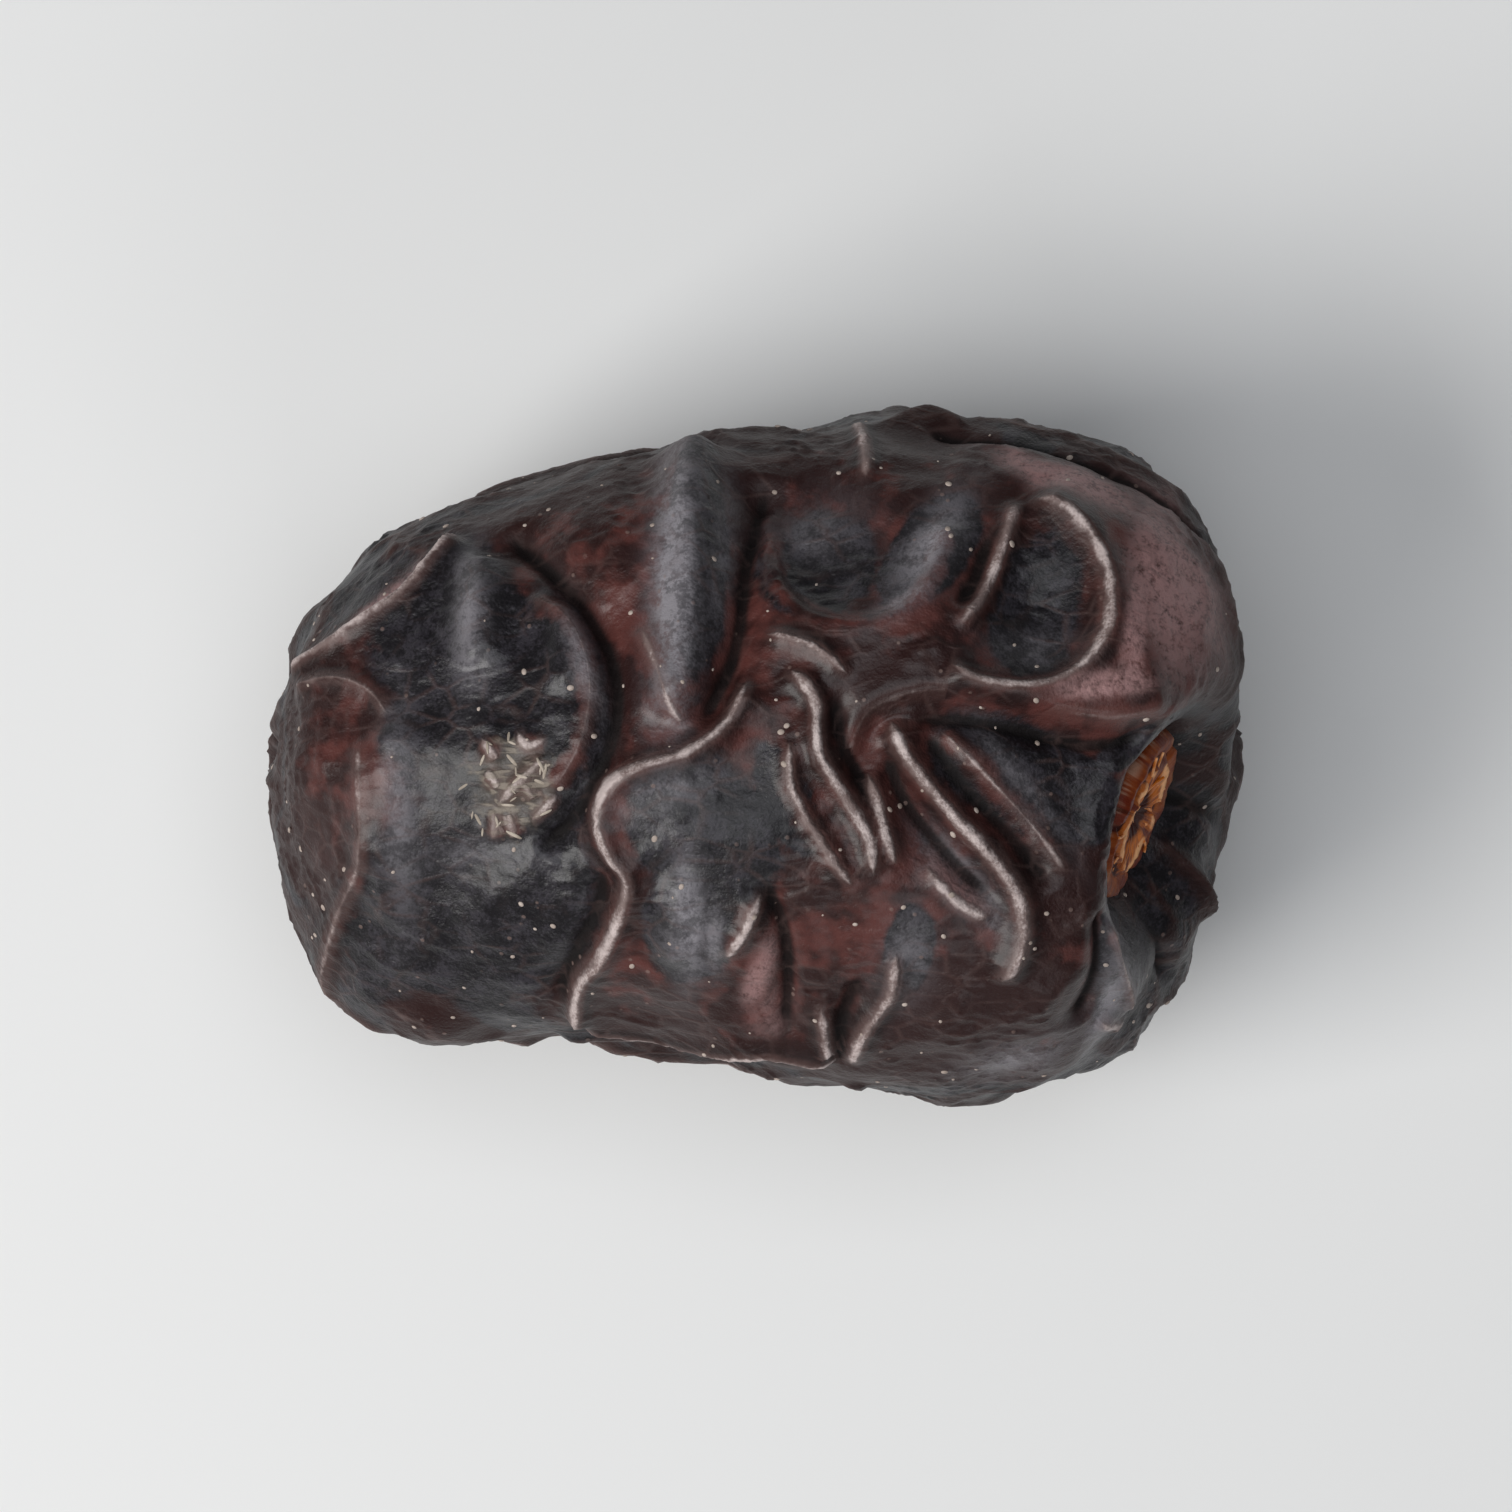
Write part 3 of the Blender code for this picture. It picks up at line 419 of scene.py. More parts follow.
def fold_relief(fold, points, normals):
    """How one fold raises each point, as its crest and the rest of it, and the marks round its line."""
    kinds = ("crest", "rest", "line", "side", "away", "bottom", "halo")
    made = {kind: np.zeros(len(points)) for kind in kinds}
    path = fold.path
    reach = FOLD_REACH * (STEP_REACH if fold.lift else fold.width)
    near = np.flatnonzero(((points > path.min(0) - reach) & (points < path.max(0) + reach)).all(1))
    if not len(near):
        return made
    here = points[near]
    square = (here**2).sum(1)[:, None] + (path**2).sum(1)[None] - 2.0 * here @ path.T
    nearest = square.argmin(1)
    length = np.concatenate([[0.0], np.cumsum(np.linalg.norm(np.diff(path, axis=0), axis=1))])
    tangent = unit(np.gradient(path, axis=0))[nearest]
    offset = here - path[nearest]
    place = length[nearest] + (offset * tangent).sum(1)
    offset = offset - tangent * (np.clip(place, 0.0, length[-1]) - length[nearest])[:, None]
    distance = np.linalg.norm(offset, axis=1)
    side = (offset * np.cross(normals[near], tangent)).sum(1)
    ends = min(FADE, 0.35 * length[-1])
    fade = smoothstep(-0.3 * ends, ends, np.minimum(place, length[-1] - place))
    fade = fade * (1.0 - smoothstep(0.5 * reach, reach, distance))
    sharp = np.exp(-(np.hypot(distance, CREST_TIP) - CREST_TIP) / fold.width) * fade
    if fold.form == "roll":
        made["rest"][near] = fold.height * bell(distance / fold.width) * fade
    elif fold.form == "crease":
        made["rest"][near] = -fold.height * sharp
        made["bottom"][near] = bell(distance / BOTTOM_WIDTH) * fade
    else:
        made["crest"][near] = fold.height * sharp
        made["line"][near] = bell(distance / LINE_REACH) * fade
        made["side"][near] = side
        made["away"][near] = distance
        made["halo"][near] = bell(distance / HALO_WIDTH) * fade
    step = np.tanh(side / fold.width) * np.exp(-distance / STEP_REACH)
    made["rest"][near] += 0.5 * fold.lift * step * fade
    return made


def listed_folds():
    """The folds of the upper side, with their paths on the body."""
    return [Fold(*row[:6], smooth_path(top_of_body(row[6:]))) for row in SEEN_FOLDS.values()]


def long_folds():
    """Wandering lengthwise folds on the flanks and underneath."""
    draw = np.random.default_rng(41)
    made = []
    for number in range(LONG_FOLDS):
        turn = math.radians(110.0 + 320.0 * (number + draw.uniform(-0.3, 0.3)) / LONG_FOLDS)
        middle = draw.uniform(-0.35, 0.45)
        half_run = draw.uniform(0.25, 0.6)
        turns = turn + draw.uniform(-0.08, 0.08, LONG_FOLD_POINTS)
        along = middle + half_run * np.linspace(-1.0, 1.0, LONG_FOLD_POINTS)
        ways = np.stack([along, np.cos(turns), np.sin(turns)], axis=1)
        form = "crease" if number % 3 == 2 else "crest"
        sizes = [draw.uniform(*span) for span in ((0.4, 0.7), (0.34, 0.5), (-0.45, 0.45))]
        made.append(Fold(form, *sizes, *FREE_LINES, smooth_path(body_point(ways))))
    return made


def spoke_folds(centre, start, run, seed, height):
    """Folds that run out from a point of the skin like spokes, as the skin puckers round it."""
    draw = np.random.default_rng(seed)
    centre = unit(np.asarray(centre, float))
    side = unit(np.cross(centre, (0.0, 0.0, 1.0)))
    up = np.cross(side, centre)
    made = []
    for number in range(SPOKES):
        turn = 2.0 * math.pi * (number + draw.uniform(-0.25, 0.25)) / SPOKES
        bend = draw.uniform(-0.35, 0.35)
        length = run * draw.uniform(0.7, 1.3)
        share = np.linspace(0.0, 1.0, 5)[:, None]
        away, angle = start + length * share, turn + bend * share
        ways = centre * np.cos(away) + (side * np.cos(angle) + up * np.sin(angle)) * np.sin(away)
        sizes = (height * draw.uniform(0.7, 1.2), SPOKE_WIDTH, 0.0)
        form = "crest" if number % 2 else "crease"
        made.append(Fold(form, *sizes, *SPOKE_LINES, smooth_path(body_point(ways))))
    return made


def free_folds():
    """The folds of the flanks, the underside and both ends."""
    stem_end = spoke_folds(HOLLOW_WAY, 0.22, 0.34, 17, 0.55)
    return long_folds() + stem_end + spoke_folds(TIP_WAY, 0.05, 0.42, 23, 0.36)


def patches_of(points, ellipses, edge=4.0):
    """How far into a set of ellipses in plan each point is, 0 to 1. A low edge makes them fade softly."""
    inside = np.zeros(len(points))
    for x, y, turn, length, width, *strength in ellipses.values():
        offset = points[:, :2] - (x, y)
        turn = math.radians(turn)
        along = offset @ (math.cos(turn), math.sin(turn)) / length
        across = offset @ (-math.sin(turn), math.cos(turn)) / width
        inside = np.maximum(inside, (strength or [1.0])[0] * np.exp(-(np.hypot(along, across) ** edge)))
    return inside


def net_relief(points):
    """A wandering net of crests, some low or missing, its sag, its lines and how far they are."""
    draw = np.random.default_rng(7)
    count = np.arange(NET_CELLS) + 0.5
    polar = np.arccos(1.0 - 2.0 * count / NET_CELLS)
    turn = math.pi * (1.0 + math.sqrt(5.0)) * count
    ways = np.stack([np.cos(polar), np.sin(polar) * np.cos(turn), np.sin(polar) * np.sin(turn)], axis=1)
    squeeze = np.array([NET_STRETCH, 1.0, 1.0])
    seeds = (body_point(ways) + draw.uniform(-NET_SPREAD, NET_SPREAD, (NET_CELLS, 3))) * squeeze
    bent = (points + 1.1 * wobble(points, 2.6, 11) + 0.35 * wobble(points, 0.9, 14)) * squeeze
    square = (bent**2).sum(1)[:, None] + (seeds**2).sum(1)[None] - 2.0 * bent @ seeds.T
    first, second = np.sqrt(np.maximum(np.partition(square, 1, axis=1)[:, :2], 0.0)).T
    distance = 0.5 * (second - first)
    strength = np.clip(0.6 + 0.8 * noise(points / 2.2, 5), 0.12, 1.0)
    crest = NET_HEIGHT * strength * np.exp(-(np.hypot(distance, CREST_TIP) - CREST_TIP) / NET_WIDTH)
    sag = -NET_SAG * smoothstep(0.2, 1.6, distance)
    return crest, sag, strength * bell(distance / NET_LINE), distance


def relief_of(points, normals):
    """How far the skin stands out from the plain body at each point, and the marks its colours follow."""
    facing = normals[:, 2]
    swell = 0.32 * noise(points / 4.2, 3) + 0.16 * noise(points / 1.9, 4)
    crests, rest, line, side, bottom, halo = np.zeros((6, len(points)))
    away = np.ones(len(points))
    out_of_sight = 1.0 - smoothstep(0.05, 0.4, facing)
    for folds, share in ((listed_folds(), np.ones(len(points))), (free_folds(), out_of_sight)):
        for fold in folds:
            made = fold_relief(fold, points, normals)
            crests += (share * made["crest"]) ** 3
            rest += share * made["rest"]
            bottom = np.maximum(bottom, share * made["bottom"])
            halo = np.maximum(halo, share * made["halo"])
            drawn = share * made["line"] * fold.pale
            stronger = drawn > line
            line[stronger] = drawn[stronger]
            side[stronger] = made["side"][stronger] / fold.line
            away[stronger] = made["away"][stronger] / fold.line
    for x, y, radius, height in SEEN_LUMPS.values():
        rest += height * bell(np.linalg.norm(points - top_of_body([(x, y)]), axis=1) / radius)
    border = facing + 0.25 * noise(points / 3.1, 6)
    hidden = 1.0 - 0.85 * smoothstep(-0.35, 0.3, border)
    net, sag, net_line, net_away = net_relief(points)
    crests = np.cbrt(crests + (hidden * net) ** 3)
    underneath = smoothstep(-0.97, -0.8, facing)
    relief = (swell + crests + rest + hidden * sag) * (0.15 + 0.85 * underneath)

    seen = smoothstep(0.1, 0.45, border)
    raised = smoothstep(-0.25, 0.5, relief + 0.5 * noise(points / 3.0, 8))
    raised = np.maximum(raised, 0.85 * bell(net_away / 0.5))
    loose = np.maximum(seen * (1.0 - 1.05 * patches_of(points, CLINGING_SKIN)), (1.0 - seen) * raised)
    frayed = np.hypot(*(points[:, :2] - FRAYED_PATCH[:2]).T) / FRAYED_PATCH[2]
    marks = {
        "line": line,
        "line_side": side,
        "line_away": away,
        "net_line": (1.0 - seen) * net_line,
        "bottom": bottom,
        "loose": np.maximum(loose, 0.75 * halo),
        # pale skin with air under it, partly a painted highlight where it catches the light
        "pale": seen * patches_of(points, PALE_SKIN, 2.6),
        # painted sheen: pale patches standing in for soft highlights on the clinging skin
        "bloomed": smoothstep(-0.1, 0.2, border) * patches_of(points, SHEEN_PATCHES, 1.8),
        "frayed": seen * bell(frayed),
        "high": smoothstep(0.25, 0.8, facing),
        # painted shade: darker thin skin on slopes turned away from the top and in the listed patches
        "dull": np.maximum(1.0 - smoothstep(0.35, 0.85, facing), patches_of(points, PAINTED_SHADE)),
    }
    return relief, marks


def fine_relief(points, height):
    """Small wrinkles and pimples over the larger folds."""
    bent = points + 0.5 * wobble(points, 1.1, 31)
    wrinkles = (1.0 - np.abs(noise(bent / np.array([0.62, 0.42, 0.42]), 35))) ** 4
    shreds = (1.0 - np.abs(noise(bent / 0.3, 36))) ** 3
    patchy = smoothstep(-0.25, 0.45, noise(points / 1.7, 37))
    return height * (wrinkles * (0.4 + 0.9 * patchy) + 0.35 * shreds * patchy)


def hollow_frame():
    """The middle of the hollow's mouth and the direction in which it opens."""
    mouth = body_point([HOLLOW_WAY])[0]
    level = math.cos(HOLLOW_TILT)
    axis = np.array([level * math.cos(HOLLOW_TURN), level * math.sin(HOLLOW_TURN), math.sin(HOLLOW_TILT)])
    return mouth, axis


def with_hollow(points):
    """The points with the stem end pressed in to a flat-floored hollow with a soft lip and a seat."""
    mouth, axis = hollow_frame()
    offset = points - mouth
    height = offset @ axis
    away = np.linalg.norm(offset - height[:, None] * axis, axis=1)
    facing = smoothstep(-6.0, -3.0, height)
    pressed = facing / (1.0 + (away / HOLLOW_RADIUS) ** 6)
    lip = LIP_HEIGHT * facing * bell((away - 1.45 * HOLLOW_RADIUS) / LIP_WIDTH)
    seat = CALYX_SEAT * facing / (1.0 + (away / (CALYX_RADIUS + GAP)) ** 40)
    return points + (pressed * (-HOLLOW_DEPTH - height) + lip - seat)[:, None] * axis


def size_fit(points):
    """The scale and shift that bring the fruit into the box of the solid it stands for."""
    low, high = points.min(0), points.max(0)
    wanted_low = SOLID_LOW + INSET
    wanted_low[2] = -FLAT_SINK
    scale = (SOLID_HIGH - INSET - wanted_low) / (high - low)
    return scale, wanted_low - low * scale


def skin_points(ways, fine):
    """The points of the finished skin and the marks its colours follow; the flat spot lies on the floor."""
    points = body_point(ways)
    normals = body_normal(points)
    relief, marks = relief_of(points, normals)
    relief = relief + fine_relief(points, fine)
    points = with_hollow(points + normals * relief[:, None])
    scale, shift = size_fit(points)
    hollow_fit.update(scale=scale, shift=shift)
    points = points * scale + shift
    points[:, 2] = np.maximum(points[:, 2], 0.0)
    return points, marks


def calyx_place():
    """The calyx's own frame as a matrix: its Z along the hollow's axis, its back in the seat."""
    mouth, axis = hollow_frame()
    depth = HOLLOW_DEPTH + CALYX_SEAT - GAP
    location = ((mouth - axis * depth) * hollow_fit["scale"] + hollow_fit["shift"]) * MM
    turn = Euler((0.0, math.pi / 2 - HOLLOW_TILT, HOLLOW_TURN)).to_matrix().to_4x4()
    return Matrix.Translation(location) @ turn


def calyx_height(share, turn):
    """Height of the calyx base's upper side: three scales in front of three wider ones, round a pit."""
    across_inner = np.cos(1.5 * (turn - INNER_SCALES))
    across_outer = np.cos(1.5 * (turn - OUTER_SCALES))
    edge = 0.60 + 0.11 * np.abs(across_inner)
    on_inner = 1.0 - smoothstep(edge - 0.05, edge + 0.03, share)
    inner = (0.08 + 0.26 * share / edge) * on_inner
    outer = 0.26 * smoothstep(0.55, 0.86, share)
    inner_seams = 0.18 * bell(across_inner / 0.17) * smoothstep(0.12, 0.3, share) * on_inner
    outer_seams = 0.20 * bell(across_outer / 0.13) * smoothstep(0.6, 0.78, share)
    pit = 0.26 * bell(share / 0.2)
    return (np.maximum(inner, outer) - inner_seams - outer_seams - pit) * (1.0 - smoothstep(0.93, 1.0, share))


def calyx_mesh():
    """The calyx base at a fine grain, in its own frame, with the marks its colours follow."""
    bm = bmesh.new()
    bmesh.ops.create_uvsphere(bm, u_segments=CALYX_AROUND, v_segments=CALYX_RINGS, radius=1.0)
    x, y, z = np.array([v.co for v in bm.verts]).T
    turn = np.arctan2(y, x)
    share = np.minimum(np.arccos(np.clip(np.abs(z), 0.0, 1.0)) / (math.pi / 2), 1.0)
    notch = bell(np.cos(1.5 * (turn - OUTER_SCALES)) / 0.25)
    away = CALYX_RADIUS * share * (1.0 - 0.08 * notch * smoothstep(0.6, 1.0, share))
    edge_round = 0.5 * CALYX_THICKNESS * smoothstep(0.9, 1.0, share)
    flat = np.stack([away * np.cos(turn), away * np.sin(turn), np.zeros_like(away)], axis=1)
    inside = 1.0 - smoothstep(0.9, 1.0, share)
    fibre = np.stack([share * 3.0, 9.0 * np.cos(turn), 9.0 * np.sin(turn)], axis=1)
    rough = (0.05 * noise(fibre, 51) + 0.03 * noise(flat / 0.22, 52)) * inside
    relief = calyx_height(share, turn)
    height = np.where(z > 1e-6, CALYX_THICKNESS - edge_round + relief + rough, edge_round)
    flat[:, 2] = np.where(np.abs(z) <= 1e-6, 0.5 * CALYX_THICKNESS, height)
    for vertex, point in zip(bm.verts, flat * MM):
        vertex.co = point
    marks = {
        "deep": np.maximum(smoothstep(0.17, 0.0, relief) * inside, bell(share / 0.24)),
        "crown": smoothstep(0.19, 0.30, relief) * inside,
        "around": turn,
        "outwards": share,
    }
    return bm, marks


def skin_mesh(fine):
    """The wrinkled skin: a cube cut into even squares and blown up to a ball, then laid on the date."""
    bm = bmesh.new()
    bmesh.ops.create_cube(bm, size=2.0)
    bmesh.ops.subdivide_edges(bm, edges=bm.edges, cuts=SKIN_CUTS, use_grid_fill=True)
    ways = unit(np.tan(np.array([v.co for v in bm.verts]) * math.pi / 4.0))
    points, marks = skin_points(unit(ways + np.array([0.0, 0.0, TOP_SHARE])), fine / MM)
    for vertex, point in zip(bm.verts, points * MM):
        vertex.co = point
    return bm, marks


# Colours and finishes

class Field:
    """One output of a node. Python's operators on it add Math nodes to its tree."""

    def __init__(self, nodes, socket):
        self.nodes = nodes
        self.socket = socket

    def math(self, operation, *values, clamp=False):
        settings = {"operation": operation, "use_clamp": clamp}
        return self.nodes.add("ShaderNodeMath", settings, dict(enumerate(values)))

    def __add__(self, other):
        return self.math("ADD", self, other)

    __radd__ = __add__

    def __sub__(self, other):
        return self.math("SUBTRACT", self, other)

    def __rsub__(self, other):
        return self.math("SUBTRACT", other, self)

    def __mul__(self, other):
        return self.math("MULTIPLY", self, other)

    def larger(self, other):
        return self.math("MAXIMUM", self, other)

    def clamped(self):
        return self.math("ADD", self, 0.0, clamp=True)


class Nodes:
    """A node tree that is built one node at a time."""

    def __init__(self, tree):
        self.tree = tree

    def add(self, kind, settings=None, inputs=None, output=0):
        """Adds a node: its settings first, then the values or links of its inputs, by name or number."""
        node = self.tree.nodes.new(kind)
        for name, value in (settings or {}).items():
            setattr(node, name, value)
        for name, value in (inputs or {}).items():
            self.put(node.inputs[name], value)
        return Field(self, node.outputs[output])

    def put(self, socket, value):
        if isinstance(value, Field):
            self.tree.links.new(value.socket, socket)
        else:
            socket.default_value = value

    def between(self, value, low, high):
        """0 where the value is at low or under, 1 where it is at high or over, with a soft change between."""
        settings = {"interpolation_type": "SMOOTHSTEP"}
        return self.add("ShaderNodeMapRange", settings, {"Value": value, "From Min": low, "From Max": high})

    def blend(self, share, first, second):
        """The first colour with the second mixed over it by a share."""
        first, second = (c if isinstance(c, Field) else (*c, 1.0) for c in (first, second))
        return self.add("ShaderNodeMix", {"data_type": "RGBA"}, {0: share, 6: first, 7: second}, output=2)

    def noise(self, place, size, detail=2.0, roughness=0.5):
        """Soft noise from 0 to 1 with patches of about that size, in millimetres."""
        inputs = {"Vector": place, "Scale": 1.0 / size, "Detail": detail, "Roughness": roughness}
        return self.add("ShaderNodeTexNoise", None, inputs)

    def cells(self, place, size, feature="F1"):
        """Distance to the nearest of many scattered points, or to the borders between them."""
        return self.add("ShaderNodeTexVoronoi", {"feature": feature}, {"Vector": place, "Scale": 1.0 / size})

    def streaks(self, place, turn, size):
        """Thin streaks that run one way in plan, from 0 to 1."""
        inputs = {"Vector": place, "Rotation": (0.0, 0.0, turn), "Scale": (0.14, 1.0, 1.0)}
        return self.noise(self.add("ShaderNodeMapping", {"vector_type": "POINT"}, inputs), size, 1.0)

    def scurf(self, place, patch):
        """Streaks and blotches of dry skin inside a patch, thinning out towards its border."""
        crossed = self.between(self.streaks(place, 0.8, 0.24), 0.52, 0.66)
        crossed = crossed.larger(self.between(self.streaks(place, -0.8, 0.22), 0.54, 0.68))
        blotches = self.between(self.noise(place, 0.6, 3.0) + (patch - 0.5) * 0.9, 0.42, 0.7)
        return (blotches * (crossed * 0.55 + 0.2) * self.between(patch, 0.1, 0.5)).clamped()

    def mark(self, name):
        """A number that the mesh carries at each of its points."""
        return self.add("ShaderNodeAttribute", {"attribute_name": name}, output=2)

    def place(self):
        """Where each point is on the date, in millimetres."""
        where = self.add("ShaderNodeTexCoord", output=3)
        return self.add("ShaderNodeVectorMath", {"operation": "SCALE"}, {0: where, "Scale": 1.0 / MM})


class Finish(Nodes):
    """A material that ends in one Principled shader, with a Bump node in front of its normal."""

    def __init__(self, name, **constants):
        self.material = bpy.data.materials.new(name)
        self.material.use_nodes = True
        super().__init__(self.material.node_tree)
        self.shader = self.tree.nodes["Principled BSDF"]
        self.set(**constants)

    def set(self, **inputs):
        for name, value in inputs.items():
            self.put(self.shader.inputs[name.replace("_", " ").title().replace("Ior", "IOR")], value)

    def raise_by(self, height, depth):
        """Bumps the surface by a height from 0 to 1, which stands for that depth in millimetres."""
        bump = self.add("ShaderNodeBump", None, {"Strength": 1.0, "Distance": depth * MM, "Height": height})
        self.set(normal=bump)


def skin_finish(skin):
    """Near-black flesh under thin skin: red-brown where it stands off the flesh, pale along its folds."""
    finish = Finish("date_skin", coat_roughness=0.26, specular_ior_level=0.24)
    between, blend, mark = finish.between, finish.blend, finish.mark
    place = finish.place()
    patches = finish.noise(place, 2.4, 4.0, 0.6)
    knots = finish.noise(place, 1.5, 3.0, 0.6)
    runs = finish.noise(place, 0.9)
    borders = finish.noise(place, 0.7, 3.0)
    grain = finish.noise(place, 0.28, 3.0, 0.62)
    fine = finish.noise(place, 0.09)
    pores = finish.cells(place, 0.55)

    # Mottled flesh, and the red skin that stands off it, darker in random runs and in painted shade
    mottled = finish.noise(place, 0.9, 5.0, 0.7) + (fine - 0.5) * 0.5 + (grain - 0.5) * 0.4
    colour = blend(between(mottled, 0.42, 0.68), skin.flesh, skin.bloom)
    dull = between(runs + (patches - 0.5) * 0.8 + mark("dull") * 0.35, 0.32, 0.66)
    red = blend(dull, skin.thin_skin, skin.deep_red_and_shade)
    loose = mark("loose") + (patches - 0.5) * 0.7 + (borders - 0.5) * 0.5 + (grain - 0.5) * 0.2
    share = between(loose, 0.42, 0.72)
    colour = blend(share, colour, red)

    # Painted sheen like a flaky waxy bloom, pale skin with air under it, and painted shade in the crease
    # bottoms
    broken = between(runs + (borders - 0.5) * 0.8 + (grain - 0.5) * 0.4, 0.28, 0.62)
    sheen_grain = between(grain + (fine - 0.5) * 0.7 + (runs - 0.5) * 0.5, 0.36, 0.62)
    bloomed = (mark("bloomed") * (broken * 0.35 + sheen_grain * 0.35 + 0.38)).clamped()
    colour = blend(bloomed, colour, skin.sheen_paint)
    # The pale skin is partly a painted highlight where the raised skin catches the light
    airy_and_lit = between(mark("pale") * 1.2 + (patches - 0.5) * 1.4 + (runs - 0.5) * 0.6, 0.2, 1.1)
    airy_and_lit = airy_and_lit * mark("pale") * between(grain + (fine - 0.5) * 0.5, 0.1, 0.6)
    colour = blend(airy_and_lit, colour, skin.airy_and_lit_skin)
    # Painted shade in the bottoms of the creases
    bottom = mark("bottom")
    colour = blend(between(bottom, 0.15, 0.85) * 0.9, colour, skin.deep)

    # Painted shade at the foot of each fold, a brown shoulder and a pale worn line along each fold
    line = mark("line")
    away = mark("line_side").math("ABSOLUTE", mark("line_side"))
    away = away.larger(mark("line_away") - 0.08)
    foot = between(away + (grain - 0.5) * 0.2, 0.75, 0.38) * between(away, 0.16, 0.32) * line
    colour = blend(foot * 0.6, colour, skin.deep)
    shoulder = between(away + (grain - 0.5) * 0.14, 0.36, 0.12) * line
    colour = blend(shoulder * 0.7, colour, skin.fold_side)
    ragged = away + (grain - 0.5) * 0.16 + (runs - 0.5) * 0.26 + (1.0 - line) * 0.22
    worn = between(ragged, 0.22, 0.07) * between(line + (runs - 0.5) * 0.5, 0.15, 0.6)
    net = between(mark("net_line") + (runs - 0.5) * 0.8 + (grain - 0.5) * 0.3, 0.55, 1.1)
    worn = worn.larger(net * 0.6)
    # The palest tips of the worn line are partly painted glints along the crests
    lit = between(knots + (fine - 0.5) * 0.4 - ragged * 0.6, 0.34, 0.62)
    colour = blend(worn * 0.92, colour, blend(lit, skin.fold_edge, skin.fold_tip_and_glint))

    # The finest wrinkles, pinprick flecks, and dry skin on the frayed patch
    stretched = finish.add("ShaderNodeVectorMath", {"operation": "MULTIPLY"}, {0: place, 1: (0.6, 1.0, 1.0)})
    wrinkles = finish.cells(stretched, 0.8, "DISTANCE_TO_EDGE")
    ridges = between(wrinkles + (grain - 0.5) * 0.1, 0.11, 0.0) * between(patches, 0.4, 0.65)
    colour = blend(ridges * 0.3, colour, skin.fold_side)
    flecks = between(pores, 0.15, 0.09) * between(finish.noise(place, 1.3), 0.5, 0.62)
    colour = blend(flecks * 0.5, colour, skin.fleck)
    scurf = finish.scurf(place, mark("frayed"))
    finish.set(base_color=blend(scurf, colour, skin.scurf))

    rough = skin.roughness + (patches - 0.5) * 0.2 + (grain - 0.5) * 0.15 + worn * 0.12 + bottom * 0.45
    finish.set(roughness=(rough + share * 0.06 + scurf * 0.25).clamped())
    finish.set(coat_weight=(1.0 - between(bottom, 0.1, 0.5)) * (1.0 - scurf) * mark("high") * skin.wax)
    height = grain * 0.5 + fine * 0.25 + ridges * 0.2 + between(pores, 0.22, 0.05) * 0.2
    finish.raise_by(height + worn * 0.5 + scurf * 0.6, 0.08)
    return finish.material


def calyx_finish(calyx):
    """Dry amber scales, peach where they catch the light, with red-brown seams between them."""
    finish = Finish("calyx_wood", specular_ior_level=0.22)
    between, blend, mark = finish.between, finish.blend, finish.mark
    place, outwards = finish.place(), mark("outwards")
    spread = finish.add("ShaderNodeCombineXYZ", None, {0: mark("around") * 9.0, 1: outwards * 1.5})
    ribs = finish.noise(spread, 1.0, 3.0, 0.6)
    tone = finish.noise(place, 1.3, 3.0)
    fine = finish.noise(place, 0.12)
    colour = blend(between(ribs + tone - 0.5, 0.3, 0.6), calyx.dark_wood, calyx.wood)
    pale = between(mark("crown") + (tone - 0.5) * 2.2 + (ribs - 0.5) * 0.4, 0.65, 1.05)
    colour = blend(pale, colour, calyx.fibre)
    outer = between(outwards + (ribs - 0.5) * 0.4 + (tone - 0.5) * 0.4, 0.55, 0.85)
    colour = blend(outer * 0.75, colour, calyx.dark_wood)
    rim = between(outwards, 0.92, 0.97) * between(ribs, 0.45, 0.6)
    colour = blend(rim * 0.5, colour, calyx.papery)
    colour = blend(between(mark("deep") + (ribs - 0.5) * 0.4, 0.08, 0.42), colour, calyx.pit)
    finish.set(base_color=colour, roughness=(0.4 + ribs * 0.3).clamped())
    finish.raise_by(ribs * 0.6 + fine * 0.3, 0.08)
    return finish.material


def fibre_finish(calyx):
    finish = Finish("calyx_fibre", specular_ior_level=0.25)
    tone = finish.noise(finish.place(), 0.4, 3.0)
    colour = finish.blend(finish.between(tone, 0.35, 0.7), calyx.wood, calyx.fibre)
    finish.set(base_color=colour, roughness=(0.25 + tone * 0.3).clamped())
    finish.raise_by(finish.noise(finish.place(), 0.1), 0.02)
    return finish.material


def crumb_finish(name, colour, pale):
    finish = Finish(name)
    tone = finish.noise(finish.place(), 0.3, 3.0)
    finish.set(base_color=finish.blend(finish.between(tone, 0.3, 0.7), colour, pale))
    finish.set(roughness=(0.55 + tone * 0.2).clamped())
    finish.raise_by(tone, 0.03)
    return finish.material


def floor_finish(floor):
    finish = Finish("pale_floor")
    tone = finish.noise(finish.place(), 40.0)
    dim = tuple(channel * 0.97 for channel in floor)
    finish.set(base_color=finish.blend(tone, floor, dim), roughness=(0.6 + tone * 0.1).clamped())
    return finish.material


# Settings

def colour_setting(name, description, default):
    return bpy.props.FloatVectorProperty(
        name=name, description=description, subtype="COLOR", size=3, min=0.0, max=1.0, default=default
    )


def share_setting(name, description, default):
    return bpy.props.FloatProperty(
        name=name, description=description, subtype="FACTOR", min=0.0, max=1.0, default=default
    )


def length_setting(name, description, default):
    return bpy.props.FloatProperty(
        name=name, description=description, subtype="DISTANCE", unit="LENGTH", min=0.0, default=default,
        precision=5,
    )


def power_setting(name, description, default):
    return bpy.props.FloatProperty(name=name, description=description, default=default, unit="POWER")


def count_setting(name, description, default):
    return bpy.props.IntProperty(name=name, description=description, min=1, default=default)


